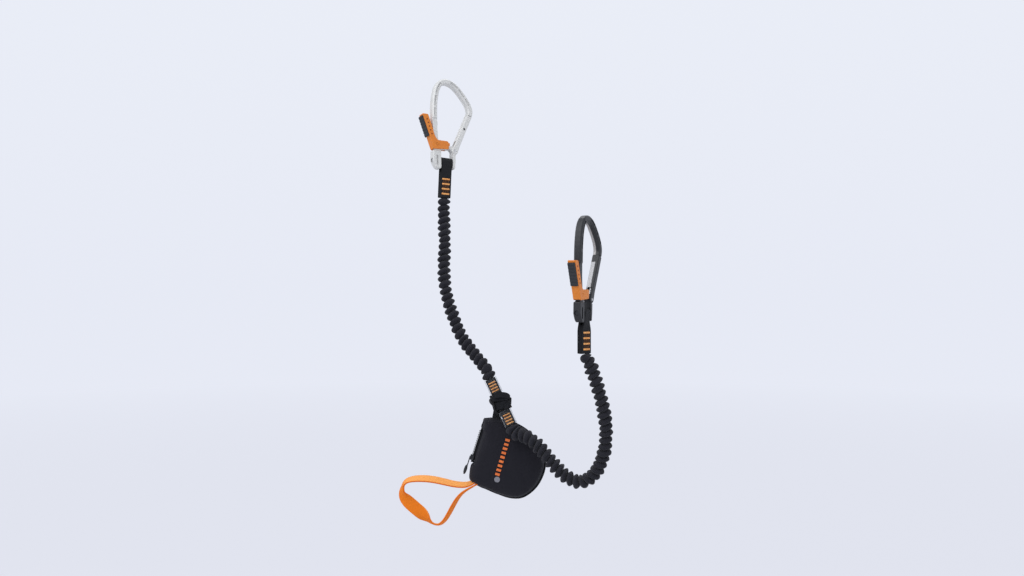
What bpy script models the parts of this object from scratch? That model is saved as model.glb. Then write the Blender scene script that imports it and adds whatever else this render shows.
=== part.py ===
"""Via ferrata lanyard: two palm-lever carabiners on elastic arms, a girth-hitched energy
absorber in a zipped pouch, and a webbing loop that ties the set to a harness.

Metres, +Z up. The origin is in the far bend of the harness loop, where the harness holds it.
The view from -Y (looking along +Y) is the front, with the pouch's zip on the left.
"""

import math

import bmesh
import bpy
from mathutils import Matrix, Vector

MM = 0.001

# Fits
SEAT = 0.3 * MM
OVERRUN = 4.0 * MM
TRIM = 1.0 * MM
WELD = 0.01 * MM
SHARP_DEG = 35
ARC_STEPS = 8
CORNER_STEPS = 3
CORNER_LIMIT_SHARE = 0.45

# Carabiner frame: u runs across to the gate, w up from the eye pin, v through its thickness
SPINE_U = -15.2 * MM
BOW_SPAN = 52.1 * MM
BOW_HEIGHT = 105.5 * MM
BAR_WIDTH = 7.0 * MM
BAR_DEPTH = 9.0 * MM
BAR_CHAMFER = 1.5 * MM
BAR_SAMPLES = 2
BAR_PATH_SHARES = (
    (0.971, 0.612), (0.992, 0.641), (1.000, 0.669), (0.990, 0.703), (0.956, 0.748),
    (0.894, 0.796), (0.820, 0.845), (0.651, 0.935), (0.505, 0.983), (0.340, 1.000),
    (0.196, 0.973), (0.094, 0.897), (0.042, 0.800), (0.013, 0.701), (0.000, 0.578),
    (0.000, 0.455), (0.004, 0.360), (0.012, 0.284), (0.027, 0.194), (0.042, 0.127),
)
NECK_FROM_SHARE = 0.42
NECK_WIDTH = 6.3 * MM
POCKET_WIDTH = 2.6 * MM
POCKET_DEPTH = 1.1 * MM
POCKET_SPAN_SHARES = (
    (0.090, 0.150), (0.165, 0.240), (0.255, 0.330), (0.425, 0.530), (0.550, 0.635), (0.655, 0.722),
)
POCKET_STEPS = 3

# Fork: two legs hold the eye pin, with the webbing eye between them
WEBBING_WIDTH = 15.0 * MM
LEG_GAP = 0.7 * MM
LEFT_LEG_WIDTH = 11.6 * MM
RIGHT_LEG_WIDTH = 3.8 * MM
LEG_DROP = 10.5 * MM
RIGHT_LEG_DROP = 9.6 * MM
LEG_TOP = 12.4 * MM
LEG_CORNER = 3.4 * MM
CROSS_FILLET = 1.6 * MM
LEG_EDGE = 0.8 * MM
LEFT_FOOT_SHARES = (0.10, 0.75, 0.70)
RIGHT_FOOT_SHARES = ((1.0, 0.0), (0.68, 0.90), (0.35, 1.0), (0.0, 0.85))
EYE_PIN_RADIUS = 2.5 * MM
LEG_POCKET_LENGTH = 13.0 * MM
LEG_POCKET_WIDTH = 2.4 * MM

# Cross member under the palm lever, thinner than the bar so that the lever's cheeks pass it
CHEEK_ZONE_DEPTH = 6.6 * MM
TONGUE_DEPTH = 4.4 * MM
CROSS_TOP = 19.4 * MM
CROSS_BOTTOM = 15.5 * MM
CORNER_TOP = 22.0 * MM
CORNER_OUT = -16.2 * MM
CORNER_IN = -10.5 * MM
CHEEK_CROSS_END = -1.5 * MM
CHEEK_ZONE_TOP = 55.0 * MM

# Gate
GATE_PIVOT_U = 11.95 * MM
GATE_PIVOT_W = 14.6 * MM
GATE_WIDTH = 7.0 * MM
GATE_HEEL_RADIUS = 4.4 * MM
GATE_TAPER = 10.0 * MM
NOSE_GAP = 0.5 * MM
GATE_SLOT_DEPTH = 5.0 * MM
GATE_SLOT_LENGTH = 14.0 * MM
TONGUE_RADIUS = 4.1 * MM
TONGUE_ARC_DEG = (110, -50)
GATE_HEEL_STEPS = 12
EAR_FOOT_SHARES = (0.7, 0.8, 0.5)
GATE_PIN_RADIUS = 1.6 * MM
NOSE_LIP_LENGTH = 3.4 * MM
NOSE_LIP_DEPTH = 3.2 * MM
LIP_SLOT_CLEARANCE = 0.5 * MM
EAR_THICKNESS = 0.75 * MM
EAR_REACH = 7.4 * MM
EAR_TOP = 20.0 * MM
EAR_BOTTOM = 17.2 * MM
PLUNGER_RADIUS = 1.7 * MM
PLUNGER_LENGTH = 11.0 * MM
GATE_BORE_END = 30.0 * MM
GATE_RIVET_ALONG = 34.0 * MM
GATE_RIVET_RADIUS = 1.2 * MM
SPRING_WIRE = 0.6 * MM
GATE_SPRING_TURNS = 5
SPRING_POINTS = 8

# Palm lever: an L-shaped channel whose cheeks pass both sides of the spine
LEVER_PIVOT_U = -13.65 * MM
LEVER_PIVOT_W = 20.5 * MM
LEVER_REACH = 37.5 * MM
LEVER_TOP_OUT = 19.8 * MM
LEVER_TOP_IN = 11.5 * MM
LEVER_THROAT = 2.9 * MM
LEVER_THROAT_RISE = 10.5 * MM
LEVER_BEND = 0.7 * MM
LEVER_ARM = 16.4 * MM
LEVER_ARM_RISE = 5.5 * MM
LEVER_ARM_DROP = 5.0 * MM
LEVER_HEEL_OUT = 4.8 * MM
LEVER_HEEL_DROP = 6.5 * MM
LEVER_DEPTH = 9.6 * MM
LEVER_CHEEK = 1.2 * MM
LEVER_WEB = 1.8 * MM
LEVER_WEB_END = -5.6 * MM
LEVER_CAP = 4.0 * MM
ARM_WEB_START = 4.4 * MM
LEVER_EDGE = 0.4 * MM
LEVER_CORNER = 1.6 * MM
PUSHER_REACH = 1.9 * MM
PUSHER_WALL = 3.0 * MM
PUSHER_SEAM = 0.1 * MM
LEVER_PIN_RADIUS = 1.5 * MM
LEVER_COIL_TURNS = 2
LEVER_COIL_PITCH = 1.0 * MM
LEVER_COIL_RADIUS = 2.5 * MM
LEVER_COIL_WIRE = 0.5 * MM
COIL_POCKET_DEPTH = 2.9 * MM
PAD_THICKNESS = 1.7 * MM
PAD_DEPTH = 8.6 * MM
PAD_FROM_SHARE = 0.26
PAD_TO_SHARE = 0.93
PAD_RIDGES = 7
PAD_RIDGE = 0.5 * MM

# Sewn webbing eye round the eye pin
EYE_WALL = 2.2 * MM
SEWN_THICKNESS = 6.4 * MM
SEWN_LENGTH = 46.0 * MM
EYE_NECK = 11.0 * MM
EYE_ARC_DEG = (-20, 200)
EYE_ARC_STEPS = 14
WEBBING_EDGE = 0.7 * MM
BAR_TACK_FROM = 21.5 * MM
BAR_TACK_PITCH = 6.2 * MM
BAR_TACK_COUNT = 4
BAR_TACK_LENGTH = 10.0 * MM
BAR_TACK_HEIGHT = 1.5 * MM
BAR_TACK_RISE = 0.8 * MM
THREAD_GROUND_SHARE = 0.4

# Elastic arms: gathered webbing over an elastic core
ARM_RADIUS = 7.7 * MM
ARM_VALLEY_RADIUS = 5.7 * MM
ARM_RIB_PITCH = 8.2 * MM
ARM_BORE_RADIUS = 3.6 * MM
CORE_RADIUS = 2.6 * MM
CORE_SPACING = 11.0 * MM
ARM_STRAIGHT = 15.4 * MM
ARM_SAMPLES = 8

# Where each carabiner's eye pin stands, and how the carabiner is turned
SILVER_EYE_ACROSS = 48.0 * MM
SILVER_EYE_BACK = 64.8 * MM
SILVER_EYE_HEIGHT = 403.1 * MM
SILVER_TURN_DEG = 33.0
SILVER_LEAN_DEG = -9.0
SILVER_ROLL_DEG = -2.5
BLACK_EYE_ACROSS = 212.5 * MM
BLACK_EYE_BACK = -78.0 * MM
BLACK_EYE_HEIGHT = 216.4 * MM
BLACK_TURN_DEG = 61.0
BLACK_LEAN_DEG = 0.0
BLACK_ROLL_DEG = 0.0

# Yoke: the flat run of webbing between the two arms, which the absorber strap is hitched round
YOKE_TOP = Vector((105.5, -4.0, 135.7)) * MM
YOKE_FOOT = Vector((131.1, -22.0, 82.2)) * MM
YOKE_WIDTH = 12.4 * MM
YOKE_THICKNESS = 4.2 * MM
YOKE_TACK_FROM = 4.6 * MM
YOKE_TACK_PITCH = 3.6 * MM
YOKE_TACK_LENGTH = 8.4 * MM
YOKE_TACK_HEIGHT = 1.1 * MM
YOKE_TACK_RISE = 0.6 * MM
SLEEVE_LENGTH = 18.6 * MM
SLEEVE_WALL = 0.7 * MM
SLEEVE_CORNER = 2.2 * MM
HITCH_BAND = 9.4 * MM
HITCH_BAND_GAP = 1.4 * MM
STRAP_THICKNESS = 2.2 * MM
STRAP_WIDTH = 11.0 * MM
BIGHT_WIDTH = 6.4 * MM
BIGHT_OUT = 4.0 * MM
BIGHT_CLEARANCE = 0.9 * MM
STRAP_LEG_BACK = 5.8 * MM
STRAP_LEG_ASIDE = 2.8 * MM
STRAP_SAMPLES = 4
RIBBON_EDGE_SHARE = 0.33

# Arm routes, chosen by hand between their straight ends
SILVER_ARM_ROUTE = (
    (47.4, 53.0, 304.2), (47.0, 47.0, 276.5), (48.0, 41.0, 253.9), (52.6, 35.0, 229.2),
    (61.3, 28.0, 204.7), (72.6, 20.0, 180.6),
)
BLACK_ARM_ROUTE = (
    (150.4, -33.0, 66.0), (165.4, -38.5, 52.0), (178.5, -42.5, 39.4), (188.2, -45.0, 31.3),
    (198.4, -48.0, 24.3), (209.7, -51.0, 22.0), (219.8, -54.0, 26.6), (228.4, -58.0, 36.5),
    (234.4, -62.0, 51.7), (237.6, -66.0, 68.4), (237.7, -69.0, 85.8), (235.6, -72.0, 103.1),
    (230.5, -74.5, 121.2), (223.3, -76.5, 138.2),
)

# Pouch
POUCH_LEFT = 76.4 * MM
POUCH_FOOT = -6.2 * MM
POUCH_WIDTH = 94.0 * MM
POUCH_HEIGHT = 94.6 * MM
POUCH_DEPTH = 15.0 * MM
POUCH_WALL = 1.3 * MM
POUCH_SEAM = 0.8 * MM
POUCH_SAMPLES = 2
ZIP_HEAD_SHARES = (0.238, 0.862)
ZIP_FOOT_SHARES = (0.103, 0.435)
POUCH_OUTLINE_SHARES = (
    (0.245, 1.000), ZIP_HEAD_SHARES, (0.195, 0.720), (0.150, 0.580), ZIP_FOOT_SHARES,
    (0.062, 0.310), (0.062, 0.215), (0.130, 0.160), (0.260, 0.110), (0.400, 0.050),
    (0.560, 0.004), (0.700, 0.008), (0.820, 0.075), (0.915, 0.180), (0.980, 0.320),
    (1.000, 0.460), (0.970, 0.600), (0.890, 0.735), (0.770, 0.850), (0.620, 0.935),
    (0.470, 0.985), (0.340, 1.005),
)
POUCH_RING_SHARES = ((0.0, 0.0), (0.035, 0.42), (0.11, 0.72), (0.26, 0.92), (0.55, 1.0))
BINDING_RADIUS = 1.5 * MM
BINDING_SPAN_SHARES = (0.40, 0.80)
MOUTH_CENTRE_X = 113.4 * MM
MOUTH_CLEARANCE = 0.9 * MM
MOUTH_LENGTH = 28.0 * MM

# Zip along the pouch's slanted edge
ZIP_TAPE_WIDTH = 3.4 * MM
ZIP_TAPE_THICKNESS = 1.6 * MM
ZIP_TAPE_EDGE = 0.4 * MM
TOOTH_LENGTH = 1.1 * MM
TOOTH_PITCH = 2.6 * MM
TOOTH_WIDTH = 1.7 * MM
TOOTH_RISE = 0.9 * MM
SLIDER_LENGTH = 6.0 * MM
SLIDER_WIDTH = 4.4 * MM
SLIDER_PLATE = 1.0 * MM
PULL_LENGTH = 18.0 * MM
PULL_TOP_SHARE = 0.6
PULL_WIDTH = 4.6 * MM
PULL_THICKNESS = 1.2 * MM

# Energy absorber: tear webbing folded in a stack
FOLD_LENGTH = 52.0 * MM
FOLD_PITCH = 3.1 * MM
FOLD_COUNT = 7
FOLD_THICKNESS = 2.2 * MM
FOLD_WIDTH = 18.0 * MM
FOLD_TURN_STEPS = 4
PACK_CENTRE = Vector((114.0, 0.0, 42.0)) * MM
BAND_HEIGHT = 14.0 * MM
BAND_WALL = 1.0 * MM

# Harness loop, chosen by hand: place, and how far its face turns to the front
LOOP_WIDTH = 14.0 * MM
LOOP_THICKNESS = 2.2 * MM
LOOP_SPACING = 6.5 * MM
LOOP_SAMPLES = 6
LOOP_ROUTE = (
    ((104.7, 0.0, 21.0), 0.0), ((98.5, 0.0, 20.6), 4.0), ((91.0, 0.0, 17.0), 16.0),
    ((82.0, 0.0, 11.6), 24.0), ((72.0, 0.0, 9.4), 30.0), ((57.7, 0.0, 12.4), 32.0),
    ((42.4, 0.0, 15.0), 30.0),
    ((28.0, 0.0, 15.2), 26.0), ((14.5, 0.0, 13.4), 20.0), ((4.0, 0.0, 8.6), 18.0),
    ((-1.1, 0.0, 0.0), 26.0), ((1.2, 0.0, -9.0), 50.0), ((9.0, 0.0, -16.4), 76.0),
    ((17.4, 0.0, -23.2), 84.0), ((25.6, 0.0, -29.6), 70.0), ((32.6, 0.0, -35.8), 40.0),
    ((40.4, 0.0, -39.0), 14.0), ((49.0, 0.0, -36.0), 16.0), ((56.2, 0.0, -28.3), 20.0),
    ((62.0, 0.0, -19.4), 24.0), ((67.4, 0.0, -10.8), 26.0), ((73.4, 0.0, -2.8), 24.0),
    ((82.0, 0.0, 4.6), 24.0), ((91.0, 0.0, 11.2), 16.0), ((98.5, 0.0, 15.2), 4.0),
    ((104.7, 0.0, 16.0), 0.0),
)
LOOP_MOUTH_CLEARANCE = 0.8 * MM
LOOP_MOUTH_BELOW = 15.4 * MM
LOOP_MOUTH_ABOVE = 2.8 * MM

SIDES_ROUND = 20
SIDES_PIN = 14

COLOURS = {
    "silver": ((0.62, 0.63, 0.64), 0.45, 0.9),
    "graphite": ((0.07, 0.07, 0.08), 0.45, 0.8),
    "steel": ((0.55, 0.56, 0.58), 0.3, 1.0),
    "lever_orange": ((0.85, 0.27, 0.03), 0.45, 0.0),
    "grip_rubber": ((0.05, 0.055, 0.065), 0.8, 0.0),
    "black_webbing": ((0.02, 0.022, 0.028), 0.9, 0.0),
    "orange_webbing": ((0.85, 0.22, 0.03), 0.85, 0.0),
    "orange_thread": ((0.9, 0.4, 0.1), 0.7, 0.0),
    "elastic": ((0.5, 0.5, 0.5), 0.8, 0.0),
    "clear_sleeve": ((0.8, 0.82, 0.85), 0.15, 0.0),
    "pouch_fabric": ((0.025, 0.028, 0.036), 0.85, 0.0),
    "zip_plastic": ((0.03, 0.03, 0.035), 0.5, 0.0),
}


def clear_scene():
    for obj in list(bpy.data.objects):
        bpy.data.objects.remove(obj, do_unlink=True)


def new_collection(name):
    collection = bpy.data.collections.new(name)
    bpy.context.scene.collection.children.link(collection)
    return collection


clear_scene()
PARTS = new_collection("via_ferrata_lanyard")
CUTTERS = new_collection("cutters")
CUTTERS.hide_render = True


def make_material(name):
    colour, roughness, metallic = COLOURS[name]
    made = bpy.data.materials.new(name)
    made.use_nodes = True
    shader = made.node_tree.nodes["Principled BSDF"]
    shader.inputs["Base Color"].default_value = (*colour, 1.0)
    shader.inputs["Roughness"].default_value = roughness
    shader.inputs["Metallic"].default_value = metallic
    return made


MATERIALS = {name: make_material(name) for name in COLOURS}


def place(obj, parent, material):
    """Keep an object as a part of the lanyard, in its material and under its empty."""
    PARTS.objects.link(obj)
    obj.data.materials.clear()
    obj.data.materials.append(MATERIALS[material])
    obj.parent = parent
    return obj


def hide_cutter(obj, parent):
    CUTTERS.objects.link(obj)
    obj.parent = parent
    obj.hide_render = True
    obj.display_type = "WIRE"
    return obj


def boolean(obj, cutter, operation):
    modifier = obj.modifiers.new(f"{operation.lower()} {cutter.name}", "BOOLEAN")
    modifier.operation = operation
    modifier.object = cutter
    modifier.solver = "EXACT"


def cut(obj, *cutters):
    for cutter in cutters:
        boolean(obj, hide_cutter(cutter, obj.parent), "DIFFERENCE")


def join(obj, *others):
    for other in others:
        boolean(obj, hide_cutter(other, obj.parent), "UNION")


def empty(name, location, rotation=(0, 0, 0), parent=None):
    made = bpy.data.objects.new(name, None)
    PARTS.objects.link(made)
    made.location = location
    made.rotation_euler = rotation
    made.parent = parent
    return made


def object_from(name, bm):
    bmesh.ops.recalc_face_normals(bm, faces=bm.faces)
    if bm.calc_volume(signed=True) < 0:
        bmesh.ops.reverse_faces(bm, faces=bm.faces)
    mesh = bpy.data.meshes.new(name)
    bm.to_mesh(mesh)
    bm.free()
    mesh.shade_smooth()
    mesh.set_sharp_from_angle(angle=math.radians(SHARP_DEG))
    return bpy.data.objects.new(name, mesh)


def mesh_from_curve(name, curve, matrix):
    """Turn a curve into a closed mesh object: its loose caps are welded on."""
    guide = bpy.data.objects.new(name + " guide", curve)
    bpy.context.scene.collection.objects.link(guide)
    bpy.context.view_layer.update()
    evaluated = guide.evaluated_get(bpy.context.evaluated_depsgraph_get())
    mesh = bpy.data.meshes.new_from_object(evaluated)
    bpy.data.objects.remove(guide)
    bpy.data.curves.remove(curve)
    bm = bmesh.new()
    bm.from_mesh(mesh)
    bpy.data.meshes.remove(mesh)
    bmesh.ops.remove_doubles(bm, verts=bm.verts, dist=WELD)
    bm.transform(matrix)
    return object_from(name, bm)


def outline_solid(name, outlines, low, high, edge=0.0, matrix=None):
    """Extrude flat outlines, holes included, from low to high along their normal."""
    curve = bpy.data.curves.new(name, "CURVE")
    curve.dimensions = "2D"
    curve.fill_mode = "BOTH"
    curve.extrude = (high - low) / 2 - edge
    curve.bevel_depth = edge
    curve.bevel_resolution = 0
    curve.offset = -edge
    for outline in outlines:
        spline = curve.splines.new("POLY")
        spline.points.add(len(outline) - 1)
        spline.use_cyclic_u = True
        for point, (x, y) in zip(spline.points, outline):
            point.co = (x, y, 0, 1)
    lift = Matrix.Translation((0, 0, (low + high) / 2))
    return mesh_from_curve(name, curve, (matrix or Matrix()) @ lift)


# Stands an outline drawn in u and w upright, so that its thickness runs along v
UPRIGHT = Matrix.Rotation(math.radians(90), 4, "X")
# Turns an outline drawn in v and w so that its thickness runs along u
SIDEWAYS = Matrix.Rotation(math.radians(90), 4, "Z") @ UPRIGHT


def plate(name, outline, half, edge=0.0):
    return outline_solid(name, [outline], -half, half, edge, UPRIGHT)


def arc(centre, radius, start_deg, end_deg, steps=ARC_STEPS):
    points = []
    for step in range(steps + 1):
        angle = math.radians(start_deg + (end_deg - start_deg) * step / steps)
        points.append((centre[0] + radius * math.cos(angle), centre[1] + radius * math.sin(angle)))
    return points


def rounded(points, radius, steps=CORNER_STEPS):
    """Replace each corner of an outline by an arc-like curve that starts radius away from it."""
    result = []
    count = len(points)
    for index, corner in enumerate(points):
        here = Vector(corner)
        before = Vector(points[index - 1]) - here
        after = Vector(points[(index + 1) % count]) - here
        reach = min(radius, before.length * CORNER_LIMIT_SHARE, after.length * CORNER_LIMIT_SHARE)
        first = here + before.normalized() * reach
        last = here + after.normalized() * reach
        for step in range(steps + 1):
            t = step / steps
            result.append(tuple(first * (1 - t) ** 2 + here * 2 * t * (1 - t) + last * t * t))
    return result


def box_outline(width, height, corner=0.0, steps=CORNER_STEPS):
    half_w = width / 2
    half_h = height / 2
    points = [(-half_w, -half_h), (half_w, -half_h), (half_w, half_h), (-half_w, half_h)]
    return rounded(points, corner, steps) if corner else points


def rod(name, radius, start, end, sides=SIDES_PIN):
    """A round rod between two points."""
    start = Vector(start)
    axis = Vector(end) - start
    bm = bmesh.new()
    bmesh.ops.create_cone(
        bm, cap_ends=True, segments=sides, radius1=radius, radius2=radius, depth=axis.length
    )
    turn = axis.to_track_quat("Z", "Y").to_matrix().to_4x4()
    bm.transform(Matrix.Translation(start + axis / 2) @ turn)
    return object_from(name, bm)


def block(name, low, high):
    """A box between two corners."""
    low = Vector(low)
    high = Vector(high)
    bm = bmesh.new()
    bmesh.ops.create_cube(bm, size=1.0)
    size = high - low
    bm.transform(Matrix.Translation((low + high) / 2) @ Matrix.Diagonal((*size, 1.0)))
    return object_from(name, bm)


def smooth_path(points, samples, closed=False):
    """Catmull-Rom curve through the points, with a number of samples to each stretch."""
    places = [Vector(point) for point in points]
    count = len(places)
    result = []
    for index in range(count if closed else count - 1):
        if closed:
            a, b, c, d = (places[(index + shift) % count] for shift in (-1, 0, 1, 2))
        else:
            b, c = places[index], places[index + 1]
            a = places[index - 1] if index else b * 2 - c
            d = places[index + 2] if index + 2 < count else c * 2 - b
        for step in range(samples):
            t = step / samples
            result.append(
                (b * 2 + (c - a) * t + (a * 2 - b * 5 + c * 4 - d) * t * t
                 + (b * 3 - a - c * 3 + d) * t ** 3) / 2
            )
    if not closed:
        result.append(places[-1])
    return result


def length_along(path):
    total = 0.0
    lengths = [total]
    for first, second in zip(path, path[1:]):
        total += (second - first).length
        lengths.append(total)
    return lengths


def point_at(path, lengths, distance):
    for index in range(len(path) - 1):
        if distance <= lengths[index + 1]:
            span = lengths[index + 1] - lengths[index]
            return path[index].lerp(path[index + 1], (distance - lengths[index]) / span)
    return path[-1].copy()


def loft(name, rings):
    """Skin closed rings of equal count and cap both ends."""
    bm = bmesh.new()
    made = [[bm.verts.new(point) for point in ring] for ring in rings]
    count = len(rings[0])
    for first, second in zip(made, made[1:]):
        for index in range(count):
            following = (index + 1) % count
            bm.faces.new((first[index], first[following], second[following], second[index]))
    bm.faces.new(list(reversed(made[0])))
    bm.faces.new(made[-1])
    return object_from(name, bm)


def bar_section(half_width, low, high, chamfer):
    """Cross section of the bar: across the bar first, then through its thickness."""
    return (
        (-half_width, low + chamfer), (-half_width + chamfer, low),
        (half_width - chamfer, low), (half_width, low + chamfer),
        (half_width, high - chamfer), (half_width - chamfer, high),
        (-half_width + chamfer, high), (-half_width, high - chamfer),
    )


def bar_along(name, path, widths, low, high, chamfer):
    """Loft a chamfered bar along a path in the u-w plane."""
    rings = []
    for index, point in enumerate(path):
        before = path[max(index - 1, 0)]
        after = path[min(index + 1, len(path) - 1)]
        along = (after - before).normalized()
        across = Vector((along.y, -along.x))
        section = bar_section(widths[index] / 2, low, high, chamfer)
        rings.append([
            Vector((point.x + across.x * a, v, point.y + across.y * a)) for a, v in section
        ])
    return loft(name, rings)


def frame_path():
    """Centre line of the bar, from the nose over the bow and down the spine."""
    points = [
        (SPINE_U + across * BOW_SPAN, up * BOW_HEIGHT) for across, up in BAR_PATH_SHARES
    ]
    return smooth_path(points, BAR_SAMPLES)


def part_of_path(path, shares, steps):
    lengths = length_along(path)
    first, last = shares
    return [
        point_at(path, lengths, lengths[-1] * (first + (last - first) * step / steps))
        for step in range(steps + 1)
    ]


def gate_frame():
    """Pivot, direction and length of the closed gate, from the frame's nose."""
    pivot = Vector((GATE_PIVOT_U, GATE_PIVOT_W))
    nose = frame_path()[0]
    along = (nose - pivot).normalized()
    return pivot, along, (nose - pivot).length - NOSE_GAP


def on_gate(along_gate, inward):
    """A point given by its distance along the closed gate and toward its inner side."""
    pivot, along, _ = gate_frame()
    return pivot + along * along_gate + Vector((-along.y, along.x)) * inward


def left_leg_outline():
    inner = -WEBBING_WIDTH / 2 - LEG_GAP
    outer = inner - LEFT_LEG_WIDTH
    outer_side, outer_corner, inner_side = (-LEG_DROP * share for share in LEFT_FOOT_SHARES)
    return rounded([
        (outer + TRIM / 2, LEG_TOP), (outer, outer_side), (outer + LEG_CORNER, outer_corner),
        (inner - LEG_CORNER - TRIM * 2, -LEG_DROP), (inner - TRIM, -LEG_DROP), (inner, inner_side),
        (inner, LEG_TOP),
    ], TRIM)


def right_leg_outline():
    pivot = (GATE_PIVOT_U, GATE_PIVOT_W)
    inner = WEBBING_WIDTH / 2 + LEG_GAP
    reach = GATE_HEEL_RADIUS + SEAT
    side = math.degrees(math.acos((inner - pivot[0]) / reach))
    seat = arc(pivot, reach, -side, -math.degrees(math.acos(TRIM / 2 / reach)))
    foot = [
        (inner + RIGHT_LEG_WIDTH * across, -RIGHT_LEG_DROP * down) for across, down in RIGHT_FOOT_SHARES
    ]
    return seat + foot


def corner_outline():
    inner = -WEBBING_WIDTH / 2 - LEG_GAP
    outer = inner - LEFT_LEG_WIDTH
    return rounded([
        (outer + TRIM, LEG_TOP - TRIM), (CORNER_OUT, LEG_TOP + TRIM), (CORNER_OUT, CORNER_TOP),
        (CORNER_IN, CORNER_TOP),
        (inner, CROSS_TOP), (CHEEK_CROSS_END, CROSS_TOP), (CHEEK_CROSS_END, CROSS_BOTTOM),
        (inner + CROSS_FILLET, CROSS_BOTTOM), (inner, CROSS_BOTTOM - CROSS_FILLET),
        (inner, LEG_TOP - TRIM),
    ], TRIM / 2)


def tongue_outline():
    pivot = (GATE_PIVOT_U, GATE_PIVOT_W)
    inner = WEBBING_WIDTH / 2 + LEG_GAP
    end = arc(pivot, TONGUE_RADIUS, *TONGUE_ARC_DEG)
    return [
        (CHEEK_CROSS_END - TRIM, CROSS_BOTTOM + TRIM / 4), (CHEEK_CROSS_END - TRIM, CROSS_TOP - TRIM / 4),
        (inner, CROSS_TOP - TRIM / 2), *end,
        (inner + RIGHT_LEG_WIDTH - TRIM / 2, LEG_TOP / 3), (inner + TRIM / 4, LEG_TOP / 3),
        (inner + TRIM / 4, CROSS_BOTTOM - TRIM * 2), (inner - CROSS_FILLET, CROSS_BOTTOM),
    ]


def build_frame(name, empty_obj, material):
    path = frame_path()
    lengths = length_along(path)
    neck = NECK_FROM_SHARE * BOW_HEIGHT
    past_bow = lengths[-1] / 2
    widths = [
        NECK_WIDTH if at > past_bow and point.y < neck else BAR_WIDTH
        for point, at in zip(path, lengths)
    ]
    half = BAR_DEPTH / 2
    frame = bar_along(name, path, widths, -half, half, BAR_CHAMFER)
    place(frame, empty_obj, material)
    join(
        frame,
        plate(name + " left leg", left_leg_outline(), half, LEG_EDGE),
        plate(name + " right leg", right_leg_outline(), half),
        plate(name + " corner", corner_outline(), CHEEK_ZONE_DEPTH / 2 - TRIM / 10),
        plate(name + " tongue", tongue_outline(), TONGUE_DEPTH / 2),
    )
    add_nose_lip(name, frame)
    zone_left = SPINE_U - BAR_WIDTH * 2
    zone_low = LEG_TOP + SEAT
    for side in (-1, 1):
        faces = sorted((side * CHEEK_ZONE_DEPTH / 2, side * (half + OVERRUN)))
        cut(frame, block(
            f"{name} cheek zone {side}", (zone_left, faces[0], zone_low), (0, faces[1], CHEEK_ZONE_TOP)
        ))
        add_pockets(name, frame, path, side)
    reach = LEFT_LEG_WIDTH + WEBBING_WIDTH
    cut(
        frame,
        rod(name + " eye bore", EYE_PIN_RADIUS + SEAT, (-reach, 0, 0), (reach, 0, 0)),
        through_rod(name + " gate bore", GATE_PIN_RADIUS + SEAT, GATE_PIVOT_U, GATE_PIVOT_W),
        through_rod(name + " lever bore", LEVER_PIN_RADIUS + SEAT, LEVER_PIVOT_U, LEVER_PIVOT_W),
        rod(
            name + " coil pocket", LEVER_COIL_RADIUS + LEVER_COIL_WIRE / 2 + SEAT,
            (LEVER_PIVOT_U, -half - OVERRUN, LEVER_PIVOT_W),
            (LEVER_PIVOT_U, -CHEEK_ZONE_DEPTH / 2 + COIL_POCKET_DEPTH, LEVER_PIVOT_W), SIDES_ROUND,
        ),
    )
    return frame


def through_rod(name, radius, u, w):
    half = LEVER_DEPTH / 2 + OVERRUN
    return rod(name, radius, (u, -half, w), (u, half, w))


def add_nose_lip(name, frame):
    """The lip under the nose, which the gate's top slot closes round."""
    _, _, length = gate_frame()
    low = length + NOSE_GAP - NOSE_LIP_LENGTH
    high = length + NOSE_GAP + NOSE_LIP_LENGTH
    outer = -GATE_WIDTH / 2 + TRIM / 2
    inner = -TRIM / 2
    outline = [on_gate(low, outer), on_gate(low, inner), on_gate(high, inner), on_gate(high, outer)]
    join(frame, plate(name + " nose lip", rounded([tuple(p) for p in outline], TRIM / 2),
                      NOSE_LIP_DEPTH / 2))


def add_pockets(name, frame, path, side):
    half = BAR_DEPTH / 2
    faces = sorted((side * (half - POCKET_DEPTH), side * (half + OVERRUN)))
    for number, shares in enumerate(POCKET_SPAN_SHARES, start=1):
        stretch = part_of_path(path, shares, POCKET_STEPS)
        widths = [POCKET_WIDTH] * len(stretch)
        cut(frame, bar_along(
            f"{name} pocket {number} {side}", stretch, widths, faces[0], faces[1], POCKET_WIDTH / 4
        ))
    centre = -WEBBING_WIDTH / 2 - LEG_GAP - LEFT_LEG_WIDTH / 2
    outline = [(centre + x, y) for x, y in
               box_outline(LEG_POCKET_WIDTH, LEG_POCKET_LENGTH, LEG_POCKET_WIDTH / 2)]
    cut(frame, outline_solid(
        f"{name} leg pocket {side}", [outline], -faces[1], -faces[0], matrix=UPRIGHT
    ))


def gate_outline():
    _, _, length = gate_frame()
    half = GATE_WIDTH / 2
    heel = [on_gate(*point) for point in arc((0, 0), GATE_HEEL_RADIUS, 90, 270, GATE_HEEL_STEPS)]
    top = [
        on_gate(GATE_TAPER, -half), on_gate(length, -half), on_gate(length, half),
        on_gate(GATE_TAPER, half),
    ]
    return [tuple(point) for point in heel + top]


def ear_outline():
    contact = GATE_PIVOT_U - EAR_REACH
    heel = GATE_HEEL_RADIUS - TRIM / 2
    under, back, back_under = (heel * share for share in EAR_FOOT_SHARES)
    return [
        (contact - TRIM, EAR_BOTTOM), (contact - TRIM, EAR_TOP), (contact + TRIM, EAR_TOP),
        (GATE_PIVOT_U - TRIM, GATE_PIVOT_W + heel + TRIM * 3), (GATE_PIVOT_U, GATE_PIVOT_W),
        (GATE_PIVOT_U - TRIM, GATE_PIVOT_W - under), (GATE_PIVOT_U - back, GATE_PIVOT_W - back_under),
    ]


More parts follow.
